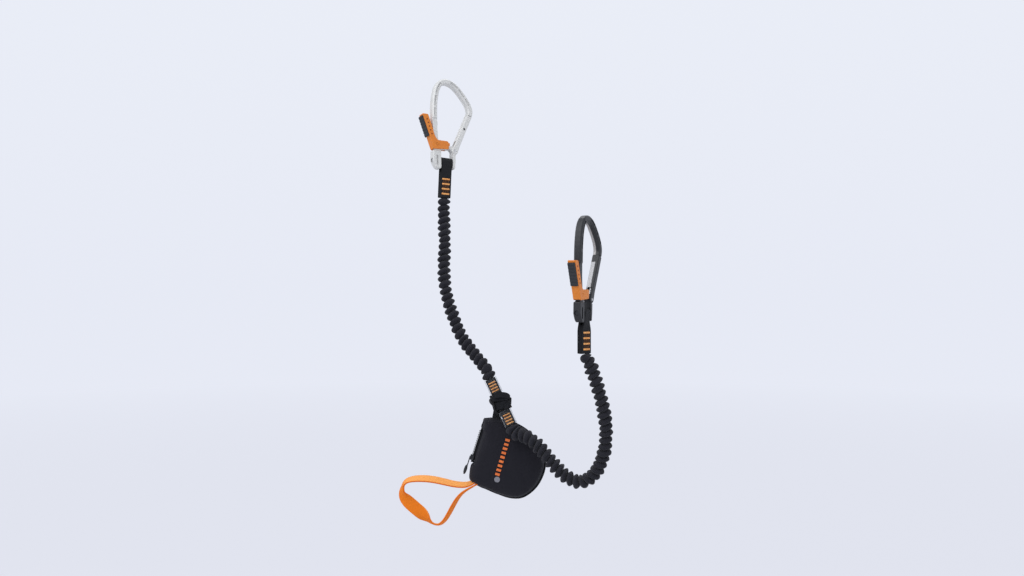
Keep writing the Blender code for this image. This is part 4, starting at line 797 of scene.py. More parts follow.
def ribbed_sleeve(name, route, first_side, last_side, ribs, plump=1.0):
    """Gives the gathered tube, every fourth point of its centre line and its length."""
    path = evenly(smooth(np.array(route) * MM), FINE_STEP)
    length = path_length(path)
    path = evenly(path, length / (ribs * RIB_STEPS))
    along, sides = carried_sides(path, first_side, last_side)
    spread = np.random.default_rng(SEED + ribs)
    bulge = spread.normal(1.0, BULGE_SPREAD, ribs + 1)
    swing = spread.normal(0.0, SWING_SPREAD, ribs + 1)
    offset = spread.normal(1.0, LEAN_SPREAD, ribs + 1)
    rows = []
    for index, (point, d, side) in enumerate(zip(path, along, sides)):
        rib = min(index // RIB_STEPS, ribs - 1)
        part = (index - rib * RIB_STEPS) / RIB_STEPS
        swell = math.sin(math.pi * part) ** SWELL_POWER
        back = np.cross(d, side)
        level = unit(np.cross((0, 1.0, 0), d))
        tilt_side, tilt_back = side @ level, back @ level
        ends = min(1.0, index / RIB_STEPS / 2, (len(path) - 1 - index) / RIB_STEPS / 2)
        radius = (VALLEY + (CREST * bulge[rib] - VALLEY) * swell) * plump * MM
        flat = SEWN_FLAT + ROUNDER * ends
        lean = (offset[rib] * (1 - part) + offset[rib + 1] * part) * LEAN * MM * ends
        turn = swing[rib] * (1 - part) + swing[rib + 1] * part
        row = []
        for angle in around(AROUND):
            lobe = LOBE_HEIGHT * swell * math.cos(LOBES * angle + turn * LOBE_TURN)
            wrinkle = WRINKLE_HEIGHT * math.sin(WRINKLES * angle + rib * WRINKLE_TURN)
            pinch = 1 + lobe + wrinkle
            wide = math.cos(angle) * radius * pinch
            deep = math.sin(angle) * radius * flat * pinch
            tilt = math.cos(angle + turn) * tilt_side + math.sin(angle + turn) * tilt_back
            row.append(point + side * wide + back * deep + d * tilt * lean)
        row[-1] = row[0]
        rows.append(row)
    sleeve = closed_tube(name, rows, 2 * math.pi * FLAT_RADIUS * MM, length * GATHERING)
    print(name, "length", round(length / MM), "mm, ribs", ribs, "faces", len(sleeve.data.polygons))
    return sleeve, path[::COURSE_STEP], length


# %% [markdown]
# Both arms stretch when the carabiner is pulled, so neither is attached to a body.

# %% Silver arm
SILVER_RIBS, BLACK_RIBS, BLACK_PLUMP = 30, 36, 1.1
silver_arm, centre, arm_length = ribbed_sleeve(
    "silver_arm_sleeve", silver_route, twisted("silver", SEWN_END)[0], yoke_right, SILVER_RIBS,
)
dress(silver_arm, gathered_webbing, None, "black_webbing", "silver_arm", "silver_elastic_core")
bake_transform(silver_arm)

# %% Black arm
black_arm, centre, arm_length = ribbed_sleeve(
    "black_arm_sleeve", black_route, yoke_right, twisted("black", SEWN_END)[0], BLACK_RIBS, BLACK_PLUMP,
)
dress(black_arm, gathered_webbing, None, "black_webbing", "black_arm", "black_elastic_core")
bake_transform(black_arm)

# %% [markdown]
# ## Flat straps
# A strap is a grid a few faces wide whose rows lie square to its route. Solidify gives it its thickness
# and a small bevel rounds the selvedge.

# %% Strap helper
SELVEDGE_SHARE = 0.35


def strap(name, centres, wides, width, thickness, across=8):
    """Flat webbing along centre points in metres, with its width and thickness in millimetres.

    wides is the direction of its width, either one for all the points or one for each.
    """
    centres = np.array(centres, float)
    wides = np.broadcast_to(np.array(wides, float), centres.shape)
    width, thickness = width * MM, thickness * MM
    shares = np.linspace(-0.5, 0.5, across + 1)
    rows = [[c + w * width * s for s in shares] for c, w in zip(centres, wides)]
    made = cloth_grid(name, rows, width, path_length(centres))
    walled(made, thickness, 0.0)
    round_edge = made.modifiers.new("selvedge", "BEVEL")
    round_edge.width = thickness * SELVEDGE_SHARE
    round_edge.segments = 2
    round_edge.limit_method = "ANGLE"
    round_edge.angle_limit = math.radians(50)
    apply_all(made)
    smooth_faces(made, 50)
    return made


# %% [markdown]
# ## Sewn eyes
# The webbing comes up the front, goes round the eye pin and comes down the back, with the end of the arm
# between the two layers. The side view is a line, and the strap helper gives it its width.

# %% Eye bands
EYE_WIDTH, EYE_WALL, PIN_RADIUS, PIN_GAP, SEWN_STACK = 14.8, 2.1, 2.8, 0.05, 7.6
BAND_FOOT, BAND_LEVEL = -45.8, -12.0
INNER_WIDTH, INNER_WALL, INNER_OFF = 13.9, 1.7, 0.9
INNER_TOP, INNER_FOOT = 13.5, 46.0


def eye_band(side):
    """The webbing round one eye pin, and the two ends of the arm's webbing inside it."""
    eye, up = EYES[side], eye_up[side]
    ring = PIN_RADIUS + EYE_WALL / 2 + PIN_GAP
    half = SEWN_STACK / 2 - EYE_WALL / 2
    line = [(-half, z) for z in np.linspace(BAND_FOOT, BAND_LEVEL, 18)]
    line += [(-half - 0.1, -9.0), (-half - 0.5, -6.0)]
    line += [(-ring * math.cos(a), ring * math.sin(a)) for a in np.radians(np.linspace(-18, 198, 19))]
    line += [(half + 0.5, -6.0), (half + 0.1, -9.0)]
    line += [(half, z) for z in np.linspace(BAND_LEVEL, BAND_FOOT, 18)]
    path = evenly(smooth([(x, z, 0) for x, z in line], 3), 1.2)
    points = [(eye + twisted(side, -z)[1] * x + up * z) * MM for x, z, _ in path]
    wides = [twisted(side, -z)[0] for _, z, _ in path]
    band = strap(f"{side}_eye_band", points, wides, EYE_WIDTH, EYE_WALL)
    dress(band, black_webbing, f"{side}_end", "black_webbing", f"{side}_eye_webbing")
    depths = np.linspace(INNER_TOP, INNER_FOOT, 22)
    wides = [twisted(side, z)[0] for z in depths]
    for number, offset in enumerate((-INNER_OFF, INNER_OFF), start=1):
        points = [(eye - up * z + twisted(side, z)[1] * offset) * MM for z in depths]
        layer = strap(f"{side}_eye_inner_layer_{number}", points, wides, INNER_WIDTH, INNER_WALL)
        dress(layer, gathered_webbing, f"{side}_end", "black_webbing")


for side in EYES:
    eye_band(side)
print("eye bands made")

# %% [markdown]
# ## Bar tacks
# A bar tack is a dense satin stitch: thread laid side by side in a low mound. The mound is a fine grid with
# a ripple along it, one crest for each pass of the thread. Modelled threads would cost far more faces and
# look the same at this size.

# %% One bar of satin stitch
PASSES, STEPS_A_PASS, STEPS_HIGH = 16, 3, 6
RIPPLE, END_SLOPE, BASE_SHARE = 0.18, 9, 0.3
SWAY, SWAY_TURNS = 0.02, 2.1


def satin_bar(name, centre, along, across, out, length, height, rise):
    """One bar of stitches, domed across its height and rounded off at both ends."""
    steps_long = PASSES * STEPS_A_PASS
    rows = []
    for j in range(STEPS_HIGH + 1):
        t = j / STEPS_HIGH * 2 - 1
        row = []
        for i in range(steps_long + 1):
            s = i / steps_long
            ripple = 1 - RIPPLE + RIPPLE * abs(math.sin(math.pi * s * PASSES))
            end = min(1.0, s * END_SLOPE, (1 - s) * END_SLOPE) ** 0.5
            dome = math.sqrt(max(0.0, 1 - t * t)) * ripple * end
            sway = SWAY * math.sin(s * PASSES * SWAY_TURNS + t)
            spot = centre + along * (s - 0.5) * length + across * (t / 2 + sway) * height
            row.append(spot + out * dome * rise)
        rows.append(row)
    bar = cloth_grid(name, rows, length, height)
    walled(bar, rise * BASE_SHARE, -1.0)
    apply_all(bar)
    return bar


def joined(name, pieces):
    """Joins pieces into one object, as Ctrl+J does."""
    deselect()
    for piece in pieces:
        piece.select_set(True)
    bpy.context.view_layer.objects.active = pieces[0]
    bpy.ops.object.join()
    pieces[0].name = pieces[0].data.name = name
    return pieces[0]


# %% [markdown]
# Between the bars, a zigzag of darker thread holds the layers together. It is one long thin tube, and a
# little of it is sunk in the webbing, as a tight stitch is.

# %% Zigzag ground thread
THREAD_SIDES, THREAD_LIFT = 5, 0.4


def zigzag(name, start, down, along, out, length, width, turns, radius):
    """A thin round thread that goes to and fro across the webbing."""
    points = []
    for index in range(turns * 2 + 1):
        t = index / (turns * 2)
        points.append(start + down * length * t + along * width / 2 * (1 if index % 2 else -1))
    path = evenly(np.array(points), width / 5)
    rows = []
    for point, forward in zip(path, directions(path)):
        sideways = np.cross(forward, out)
        rows.append([
            point + (sideways * math.cos(a) + out * (math.sin(a) + THREAD_LIFT)) * radius
            for a in around(THREAD_SIDES)
        ])
    return closed_tube(name, rows, radius * 6, length)


# %% [markdown]
# The eyes and the yoke have the same kind of tacks in two sizes: four bars across the webbing, over three
# lanes of ground thread. One function sews a set on one face of the webbing.

# %% Bar tacks on the eyes
BARS = 4
LANES, LANE_SHARE, LANE_TURNS, GROUND_RADIUS = (-0.32, 0.0, 0.32), 0.3, 4, 0.22 * MM
EYE_TACKS = dict(pitch=6.2 * MM, size=(10.0 * MM, 1.7 * MM), rise=0.8 * MM, seat=SEWN_STACK / 2 * MM)
EYE_TACKS_BELOW_PIN, TACK_MIDDLE = 22.25, 30.0


def tack_set(name, origin, across, out, down, first, body, node, pitch, size, rise, seat):
    """Bars from first below the origin, pitch apart and seat in front of it, with their ground thread."""
    length, height = size
    bars = []
    for index in range(BARS):
        centre = origin + down * (first + index * pitch) + out * seat
        bars.append(satin_bar(f"{name} {index}", centre, across, down, out, length, height, rise))
    bars = joined(name, bars)
    smooth_faces(bars, 60)
    dress(bars, thread, body, "orange_thread", node)
    gaps = BARS - 1
    ground = [
        zigzag(f"{name} ground {lane}", origin + down * first + out * seat + across * length * lane,
               down, across, out, pitch * gaps, length * LANE_SHARE, gaps * LANE_TURNS, GROUND_RADIUS)
        for lane in LANES
    ]
    ground = joined(name + "_ground", ground)
    dress(ground, ground_thread, body, "orange_thread")


for side, eye in EYES.items():
    side_way, back_way = twisted(side, TACK_MIDDLE)
    for label, out in (("front", -back_way), ("back", back_way)):
        tack_set(
            f"{side}_eye_tacks_{label}", eye * MM, side_way, out, -eye_up[side], EYE_TACKS_BELOW_PIN * MM,
            f"{side}_end", f"{side}_bar_tacks_{label}", **EYE_TACKS,
        )
print("eye tacks made")

# %% [markdown]
# ## Yoke
# The short flat run between the arms carries both sewn ends, each under a clear sleeve, and the absorber's
# strap is hitched round its middle.

# %% Yoke webbing and its tacks
YOKE_WIDTH, YOKE_WALL, YOKE_OFF, YOKE_END_GAP = 12.4, 2.0, 1.05, 0.0003
SLEEVE_START, SLEEVE_LENGTH, TACKS_IN_SLEEVE = 0.6, 18.6, 5.15
YOKE_TACKS = dict(pitch=3.6 * MM, size=(8.4 * MM, 1.3 * MM), rise=0.6 * MM, seat=2.1 * MM)
yoke_length = np.linalg.norm(YOKE_FOOT - YOKE_TOP) * MM
yoke_at = YOKE_TOP * MM
steps = np.linspace(YOKE_END_GAP, yoke_length - YOKE_END_GAP, 40)
for layer, offset in (("front", -YOKE_OFF), ("back", YOKE_OFF)):
    points = [yoke_at + yoke_down * s + yoke_back * offset * MM for s in steps]
    piece = strap(f"yoke_webbing_{layer}", points, yoke_right, YOKE_WIDTH, YOKE_WALL)
    dress(piece, black_webbing, "lanyard", "black_webbing", "yoke_webbing")
sleeve_starts = {"silver": SLEEVE_START, "black": yoke_length / MM - SLEEVE_LENGTH - SLEEVE_START}
for side, start in sleeve_starts.items():
    first = (start + TACKS_IN_SLEEVE) * MM
    for label, out in (("front", -yoke_back), ("back", yoke_back)):
        tack_set(
            f"{side}_yoke_tacks_{label}", yoke_at, yoke_right, out, yoke_down, first,
            "lanyard", f"{side}_lower_tacks_{label}", **YOKE_TACKS,
        )
print("yoke length", round(yoke_length / MM), "mm")

# %% [markdown]
# The sleeve is a short clear tube with a rounded oblong section, shrunk on. It flares a little at both
# ends, and its upper rim is uneven.

# %% Clear sleeves
OBLONG_POWER = 2 / 5
SLEEVE_ACROSS, SLEEVE_DEEP, SLEEVE_GIRTH, FILM_WALL = 14.2, 7.2, 40, 0.5
SLEEVE_STEPS, FLARE, WAVE_HEIGHT, WAVE_TURN, RIM_WAVE = 12, 0.03, 0.012, 11, 0.2


def oblong(width, height, count=32):
    """Points round a rounded oblong, as pairs."""
    return [
        (math.copysign(abs(math.cos(a)) ** OBLONG_POWER, math.cos(a)) * width / 2,
         math.copysign(abs(math.sin(a)) ** OBLONG_POWER, math.sin(a)) * height / 2)
        for a in around(count)
    ]


for side, start in sleeve_starts.items():
    rows = []
    for step in range(SLEEVE_STEPS + 1):
        t = step / SLEEVE_STEPS
        flare = 1 + FLARE * (2 * t - 1) ** 4 + WAVE_HEIGHT * math.sin(t * WAVE_TURN)
        centre = yoke_at + yoke_down * (start + SLEEVE_LENGTH * t) * MM
        rim_wave = yoke_down * RIM_WAVE * MM * (step == 0)
        rows.append([
            centre + (yoke_right * x * flare + yoke_back * z * flare) * MM + rim_wave * math.sin(x)
            for x, z in oblong(SLEEVE_ACROSS, SLEEVE_DEEP)
        ])
    sleeve = cloth_grid(f"{side}_shrink_sleeve", rows, SLEEVE_GIRTH * MM, SLEEVE_LENGTH * MM)
    mend(sleeve)
    walled(sleeve, FILM_WALL * MM, 1.0)
    apply_all(sleeve)
    smooth_faces(sleeve, 60)
    dress(sleeve, clear_sleeve, "lanyard", "clear_sleeve", f"{side}_clear_sleeve")
print("clear sleeves made")

# %% [markdown]
# ## The girth hitch
# The strap from the absorber is hitched round the middle of the yoke. Two wraps go round it side by side, a
# bight runs up over them on the left, and one more lobe bulges on the right. A knot could be simulated, but
# straps on given routes stay where they are put.

# %% Wraps, bight and lobe
WRAP_ACROSS, WRAP_DEEP, WRAP_WIDTH, WRAP_WALL = 16.6, 8.6, 8.6, 2.6
UNEVEN_ACROSS, UNEVEN_DEEP, UNEVEN_TURN = 0.05, 0.1, 0.8
SPLAY, SPLAY_TURN, SLANT_OVER = 0.25, 0.5, 8


def yoke_point(x, y, s):
    """A point at x across the yoke, y behind it and s down it, in millimetres."""
    return yoke_at + (yoke_right * x + yoke_back * y + yoke_down * s) * MM


middle = yoke_length / MM / 2
turns = []
for label, offset, slant in (("upper", -4.6, 2.6), ("lower", 4.8, 1.6)):
    points, wides = [], []
    for x, y in oblong(WRAP_ACROSS, WRAP_DEEP, 36):
        wide_x = x * (1 + UNEVEN_ACROSS * math.sin(x + offset))
        deep_y = y * (1 + UNEVEN_DEEP * math.sin(x * UNEVEN_TURN))
        points.append(yoke_point(wide_x, deep_y, middle + offset + slant * x / SLANT_OVER))
        wides.append(unit(yoke_down + yoke_back * SPLAY * math.sin(x * SPLAY_TURN + offset)))
    turns.append(strap(f"hitch_wrap_{label}", points, wides, WRAP_WIDTH, WRAP_WALL))
BIGHT = [
    (-6.6, 5.0, -9.6), (-9.4, 2.2, -9.0), (-10.3, -1.6, -6.0), (-9.6, -4.6, -2.5), (-8.6, -5.6, 0.0),
    (-9.2, -4.6, 3.5), (-10.0, -1.4, 7.0), (-9.2, 2.2, 9.6), (-6.6, 5.0, 10.2),
]
LOBE = [
    (-3.5, -5.6, -8.2), (1.5, -7.0, -7.4), (6.5, -6.4, -5.2), (10.4, -3.4, -2.2), (11.2, 0.0, 1.6),
    (10.6, -3.2, 5.4), (7.0, -6.4, 8.2), (2.0, -6.8, 9.2),
]
for name, route, wide, width, wall in (
    ("hitch_bight", BIGHT, yoke_right * 0.5 - yoke_back * 0.86, 6.0, 2.0),
    ("hitch_lobe", LOBE, yoke_down * 0.8 - yoke_right * 0.4, 6.4, 2.6),
):
    path = evenly(smooth(route, 6), 1.3)
    points = [yoke_point(x, y, middle + s) for x, y, s in path]
    turns.append(strap(name, points, unit(wide), width, wall))
hitch = joined("girth_hitch", turns)
dress(hitch, hitch_webbing, "lanyard", "black_webbing", "absorber_strap")
print("hitch made, faces", len(hitch.data.polygons))

# %% [markdown]
# Both legs of the strap leave the back of the hitch and run down into the pouch, one in front of the other.
# They are parts of one strap, so they share a route and lie a little apart.

# %% Legs down into the pouch
LEG_WIDTH, LEG_WALL, LEG_OFF, LEG_SAG = 10.8, 1.9, 1.1, 1.0
start = yoke_point(-2.75, 5.8, middle)
mouth = np.array((113.4, 0.0, 88.4)) * MM
foot = np.array((113.4, 0.0, 71.2)) * MM
route = [start, (start + mouth) / 2 + [0, LEG_SAG * MM, 0], mouth, (mouth + foot) / 2, foot]
path = evenly(smooth(route), 1.3 * MM)
for label, shift in (("front", -LEG_OFF), ("back", LEG_OFF)):
    points = path + np.array((0, shift * MM, 0))
    leg = strap(f"absorber_strap_{label}_leg", points, (1.0, 0, 0), LEG_WIDTH, LEG_WALL)
    dress(leg, black_webbing, "lanyard", "black_webbing")
print("leg length", round(path_length(path) / MM), "mm")

# %% [markdown]
# ## Harness loop
# One orange strap leaves the pouch, bends round and comes back. Its width turns along the way, which is
# what gives the broad face at lower left and the narrow edges elsewhere. The turn in degrees is a third
# number beside each point's x and z, so it is smoothed along with the place.

# %% Orange loop
LOOP_WIDTH, LOOP_WALL = 15.2, 2.0
LOOP = [
    (104.7, 21.0, 0), (98.5, 20.0, -2), (91.0, 15.4, -5), (83.0, 10.6, -8), (75.0, 8.4, -12),
    (63.5, 9.2, -14), (51.5, 11.8, -16), (39.5, 14.4, -17), (27.6, 15.8, -17), (15.6, 15.6, -15),
    (7.2, 13.8, -11), (2.6, 10.2, -9), (1.0, 5.2, -14), (0.4, -0.6, -32), (3.0, -6.6, -62),
    (8.4, -12.6, -88), (15.6, -19.0, -95), (22.2, -24.6, -88), (27.6, -29.6, -58), (31.8, -33.9, -28),
    (36.5, -37.6, -17), (41.9, -39.2, -16), (46.7, -38.0, -16), (51.5, -33.5, -17), (56.3, -25.9, -18),
    (61.1, -17.0, -18), (65.9, -8.8, -16), (71.0, -2.6, -14), (77.0, 2.0, -12), (84.0, 6.0, -10),
    (91.0, 10.0, -6), (98.5, 14.6, -2), (104.7, 16.0, 0),
]
path = evenly(smooth([(x, 0, z, turn) for x, z, turn in LOOP], 10), 1.6)
wides = []
for forward, turn in zip(directions(path), np.radians(path[:, 3])):
    level = unit(np.array((0, 1.0, 0)) - forward * forward[1])
    normal = np.cross(forward, level)
    wides.append(level * math.cos(turn) + normal * math.sin(turn))
loop = strap("harness_tie_loop", path[:, :3] * MM, wides, LOOP_WIDTH, LOOP_WALL, across=10)
dress(loop, orange_webbing, "lanyard", "orange_webbing", "harness_loop")
print("loop length", round(path_length(path)), "mm")

# %% [markdown]
# ## Pouch
# The pouch is two dished panels of dark cloth sewn round their rim. Its outline is a smooth curve through
# given points, as shares of its width and height. A few points beyond both ends keep the curve
# smooth where it meets itself, and are then cut off.

# %% Pouch outline
POUCH_LEFT, POUCH_FOOT, POUCH_WIDTH, POUCH_HEIGHT = 76.4, -6.2, 94.0, 94.6
BEFORE, AFTER, RIM_SAMPLES, RIM_SPACING = 2, 3, 6, 1.8
OUTLINE_SHARES = [
    (0.243, 1.000), (0.226, 0.944), (0.207, 0.886), (0.226, 0.848), (0.187, 0.720), (0.142, 0.580),
    (0.099, 0.444), (0.066, 0.410), (0.048, 0.320), (0.050, 0.225), (0.130, 0.160), (0.260, 0.110),
    (0.400, 0.050), (0.560, 0.004), (0.700, 0.008), (0.820, 0.075), (0.915, 0.180), (0.980, 0.320),
    (1.000, 0.460), (0.970, 0.600), (0.890, 0.735), (0.770, 0.850), (0.620, 0.935), (0.470, 0.985),
    (0.340, 1.005),
]


def on_pouch(across, up):
    """A place on the pouch from shares of its width and height."""
    return POUCH_LEFT + across * POUCH_WIDTH, POUCH_FOOT + up * POUCH_HEIGHT


corners = [(*on_pouch(*shares), 0) for shares in OUTLINE_SHARES]
rim = smooth(corners[-BEFORE:] + corners + corners[:AFTER], RIM_SAMPLES)
rim = rim[BEFORE * RIM_SAMPLES:1 - AFTER * RIM_SAMPLES, :2]
rim = evenly(np.vstack([rim, rim[:1]]), RIM_SPACING)[:-1]
rim_centre = rim.mean(axis=0)
print("pouch rim:", len(rim), "points")

# %% [markdown]
# A panel is a loft: rings of the outline shrink toward the middle while they rise, and the last one is
# filled with a fan of faces. Two soft folds and slow ripples keep it from looking like a moulded shell. Its
# UV map is the front view in millimetres, so the weave stays straight across it.

# %% Dished panels
SEAM_DEPTH, DISHED, DEEPEST, PANEL_WALL = 0.8, 13.9, 15.2, 1.1
RINGS = [
    (0.0, 0.0), (0.012, 0.2), (0.035, 0.42), (0.07, 0.6), (0.11, 0.72), (0.18, 0.84), (0.26, 0.92),
    (0.36, 0.965), (0.47, 0.985), (0.6, 0.995), (0.74, 1.0), (0.88, 1.0),
]
FOLDS = [
    dict(x=142, z=40, slant=-0.16, width=2.2, depth=1.7),
    dict(x=103, z=45, slant=0.28, width=3.5, depth=0.6),
]
RIPPLES = [dict(height=0.35, by_x=0.21, by_z=0.07), dict(height=0.25, by_x=-0.1, by_z=0.23)]
CREASE_SHARE, CREASE_EASE = 0.8, 6
TINY = 1e-9


def crease(x, z):
    """Height of the ripples and the soft folds in the cloth, in millimetres."""
    height = sum(wave["height"] * math.sin(x * wave["by_x"] + z * wave["by_z"]) for wave in RIPPLES)
    for fold in FOLDS:
        off = (x - fold["x"] - (z - fold["z"]) * fold["slant"]) / fold["width"]
        height -= math.exp(-off ** 2) * fold["depth"]
    return height


def fill_middle(panel):
    """Selects the points of the innermost ring, and fills it with a fan of faces."""
    select_only(panel)
    bpy.ops.object.mode_set(mode="EDIT")
    bpy.ops.mesh.select_all(action="DESELECT")
    bpy.ops.object.mode_set(mode="OBJECT")
    places = np.array([v.co for v in panel.data.vertices])
    far = np.linalg.norm(places[:, [0, 2]] - rim_centre * MM, axis=1)
    limit = np.sort(far)[len(rim)] - TINY
    for vertex, distance in zip(panel.data.vertices, far):
        vertex.select = bool(distance < limit)
    bpy.ops.object.mode_set(mode="EDIT")
    bpy.ops.mesh.edge_face_add()
    bpy.ops.mesh.poke()
    bpy.ops.object.mode_set(mode="OBJECT")


def pouch_panel(name, side):
    """One dished face of the pouch. The side is -1 in front and 1 at the back."""
    rows = []
    for inset, rise in RINGS:
        row = []
        for x, z in rim:
            px, pz = x + (rim_centre[0] - x) * inset, z + (rim_centre[1] - z) * inset
            soft = crease(px, pz) * min(1.0, inset * CREASE_EASE)
            depth = SEAM_DEPTH + rise * DISHED + soft * CREASE_SHARE
            row.append((px * MM, side * min(depth, DEEPEST) * MM, pz * MM))
        row.append(row[0])
        rows.append(row)
    panel = cloth_grid(name, rows, 1, 1)
    mend(panel)
    fill_middle(panel)
    layer = panel.data.uv_layers.active.data
    for loop_corner in panel.data.loops:
        co = panel.data.vertices[loop_corner.vertex_index].co
        layer[loop_corner.index].uv = (co.x / MM, co.z / MM)
    if sum(p.normal.y * side for p in panel.data.polygons) < 0:
        panel.data.flip_normals()
    walled(panel, PANEL_WALL * MM, -1.0)
    apply_all(panel)
    smooth_faces(panel, 60)
    return panel


for label, side_sign in (("front", -1), ("back", 1)):
    panel = pouch_panel(f"pouch_{label}_panel", side_sign)
    dress(panel, pouch_cloth, "lanyard", "pouch_fabric", f"pouch_{label}")
print("pouch panels made")

# %% [markdown]
# A thick piping shows at the lower right of the rim, and a thin seam on three other stretches. Both are
# round tubes on the rim that get thinner at their ends, so they seem to sink into the cloth.

# %% Piping
TUBE_SIDES, THIN_END = 10, 0.3
PIPING = dict(runs=[(0.40, 0.8)], off=0.7, fade=24)
SEAMS = dict(runs=[(0.0, 0.19), (0.30, 0.425), (0.795, 0.93)], off=0.1, fade=6)
PIPING_RADIUS, SEAM_RADIUS = 1.7, 1.2
ANY_SIDE = (0.3, 0.9, 0.2)
outward = rim - rim_centre
outward /= np.linalg.norm(outward, axis=1)[:, None]


def tube_along(name, path, radii):
    """A round tube on a route, with filled ends and its own radius at each point."""
    along = directions(path)
    side = unit(np.cross(along[0], ANY_SIDE))
    rows = []
    for point, forward, radius in zip(path, along, radii):
        side = unit(side - forward * (side @ forward))
        back = np.cross(forward, side)
        rows.append([
            point + (side * math.cos(a) + back * math.sin(a)) * radius for a in around(TUBE_SIDES)
        ])
    return closed_tube(name, rows, 2 * math.pi * np.mean(radii), path_length(path))


def rim_runs(runs, off, fade):
    """For each pair of shares of the rim: its points, moved outward, and how full a tube is there."""
    for share_from, share_to in runs:
        first, last = int(len(rim) * share_from), int(len(rim) * share_to)
        run = np.arange(first, last)
        full = np.minimum(1.0, np.minimum(run - first, last - 1 - run) / fade + THIN_END)
        spots = rim[run] + outward[run] * off
        yield np.column_stack([spots[:, 0], np.zeros(len(run)), spots[:, 1]]) * MM, full * MM


for points, full in rim_runs(**PIPING):
    piping = tube_along("pouch_piping", points, full * PIPING_RADIUS)
    dress(piping, binding_cloth, "lanyard", "grip_rubber", "pouch_binding")
for number, (points, full) in enumerate(rim_runs(**SEAMS), start=1):
    seam = tube_along(f"pouch_seam_{number}", points, full * SEAM_RADIUS)
    dress(seam, pouch_cloth, "lanyard", "pouch_fabric")
print("piping and", number, "seams made")

# %% [markdown]
# A row of topstitching follows the rim on each face, a few millimetres in. A stitch is a short low bar,
# so one is modelled and the rest are copies of its mesh.

# %% Topstitching
STITCH_SIDES, STITCH_RADIUS, STITCH_LENGTH, STITCH_BEVEL = 6, 0.26, 1.5, 0.18
STITCH_INSET, STITCH_RISE, STITCH_DEPTH = 0.07, 0.6, 0.9


def one_stitch():
    """A short rounded bar of thread along X, half sunk."""
    deselect()
    bpy.ops.mesh.primitive_cylinder_add(
        vertices=STITCH_SIDES, radius=STITCH_RADIUS * MM, depth=STITCH_LENGTH * MM,
        rotation=(0, math.radians(90), 0),
    )
    made = bpy.context.object
    bpy.ops.object.transform_apply(rotation=True)
    bevelled(made, STITCH_BEVEL * MM, 1)
    return made


def stitch_row(name, side):
    """A stitch at every second point of the rim, turned along it."""
    master = one_stitch()
    stitches = []
    depth = side * (STITCH_DEPTH + STITCH_RISE * DISHED)
    inset_rim = rim + (rim_centre - rim) * STITCH_INSET
    for index in range(0, len(rim), 2):
        here, there = inset_rim[index], inset_rim[(index + 1) % len(rim)]
        turn = math.atan2(there[1] - here[1], there[0] - here[0])
        stitch = master.copy()
        stitch.data = master.data.copy()
        bpy.context.scene.collection.objects.link(stitch)
        spot = Matrix.Translation((here[0] * MM, depth * MM, here[1] * MM))
        stitch.data.transform(spot @ Matrix.Rotation(-turn, 4, "Y"))
        stitches.append(stitch)
    bpy.data.objects.remove(master)
    print(name, "has", len(stitches), "stitches")
    return joined(name, stitches)


for label, side_sign in (("front", -1), ("back", 1)):
    row = stitch_row(f"pouch_{label}_stitches", side_sign)
    dress(row, zip_plastic, "lanyard", "pouch_fabric")

# %% [markdown]
# A slanted row of plain orange bars and a round grey badge decorate the front. They are thin raised shapes,
# so each takes its depth from the points of the panel beside it.

# %% Orange bars
BAND_TOP, BAND_END = np.array((127.2, 66.5)), np.array((113.8, 21.3))
BAR_COUNT, BAR_SIZE, BAR_LIFT, BAR_BEVEL = 9, (2.9, 0.8, 5.4), 0.4, 0.2
NEAREST = 12


def front_depth(x, z):
    """How far in front of the middle plane the pouch's front face stands, in millimetres."""
    node = np.array([v.co for v in bpy.data.objects["pouch_front_panel"].data.vertices]) / MM
    near = np.argsort((node[:, 0] - x) ** 2 + (node[:, 2] - z) ** 2)[:NEAREST]
    return -node[near, 1].min()


slope = unit(BAND_END - BAND_TOP)
turn = math.atan2(slope[0], -slope[1])
bars = []
for index in range(BAR_COUNT):
    x, z = BAND_TOP + slope * np.linalg.norm(BAND_END - BAND_TOP) * (index + 0.5) / BAR_COUNT
    deselect()
    bpy.ops.mesh.primitive_cube_add(size=1, location=(0, 0, 0))
    bar = bpy.context.object
    bar.data.transform(Matrix.Diagonal((*(size * MM for size in BAR_SIZE), 1)))
    bar.data.transform(Matrix.Rotation(-turn, 4, "Y") @ Matrix.Rotation(math.radians(90), 4, "Y"))
    bar.data.transform(Matrix.Translation((x * MM, -(front_depth(x, z) + BAR_LIFT) * MM, z * MM)))
    bevelled(bar, BAR_BEVEL * MM, 2)
    bars.append(bar)
bars = joined("pouch_orange_bars", bars)
dress(bars, print_orange, "lanyard", "orange_webbing")
print(BAR_COUNT, "bars made")

# %% Badge
BADGE_X, BADGE_Z, BADGE_RADIUS, BADGE_WALL, BADGE_LIFT, BADGE_BEVEL = 114.1, 17.5, 3.4, 0.7, 0.15, 0.25
deselect()
bpy.ops.mesh.primitive_cylinder_add(
    vertices=40, radius=BADGE_RADIUS * MM, depth=BADGE_WALL * MM, rotation=(math.radians(90), 0, 0),
)
badge = bpy.context.object
badge.name = badge.data.name = "pouch_badge"
bpy.ops.object.transform_apply(rotation=True)
badge_depth = front_depth(BADGE_X, BADGE_Z) + BADGE_LIFT
badge.data.transform(Matrix.Translation((BADGE_X * MM, -badge_depth * MM, BADGE_Z * MM)))
bevelled(badge, BADGE_BEVEL * MM, 2)
smooth_faces(badge, 40)
dress(badge, badge_grey, "lanyard", "steel")
print("badge", round(badge_depth, 1), "mm in front of the middle")

# %% [markdown]
# ## Folded absorber
# Inside the pouch lies the tear webbing, folded to and fro. It is one long strap on a zigzag route.

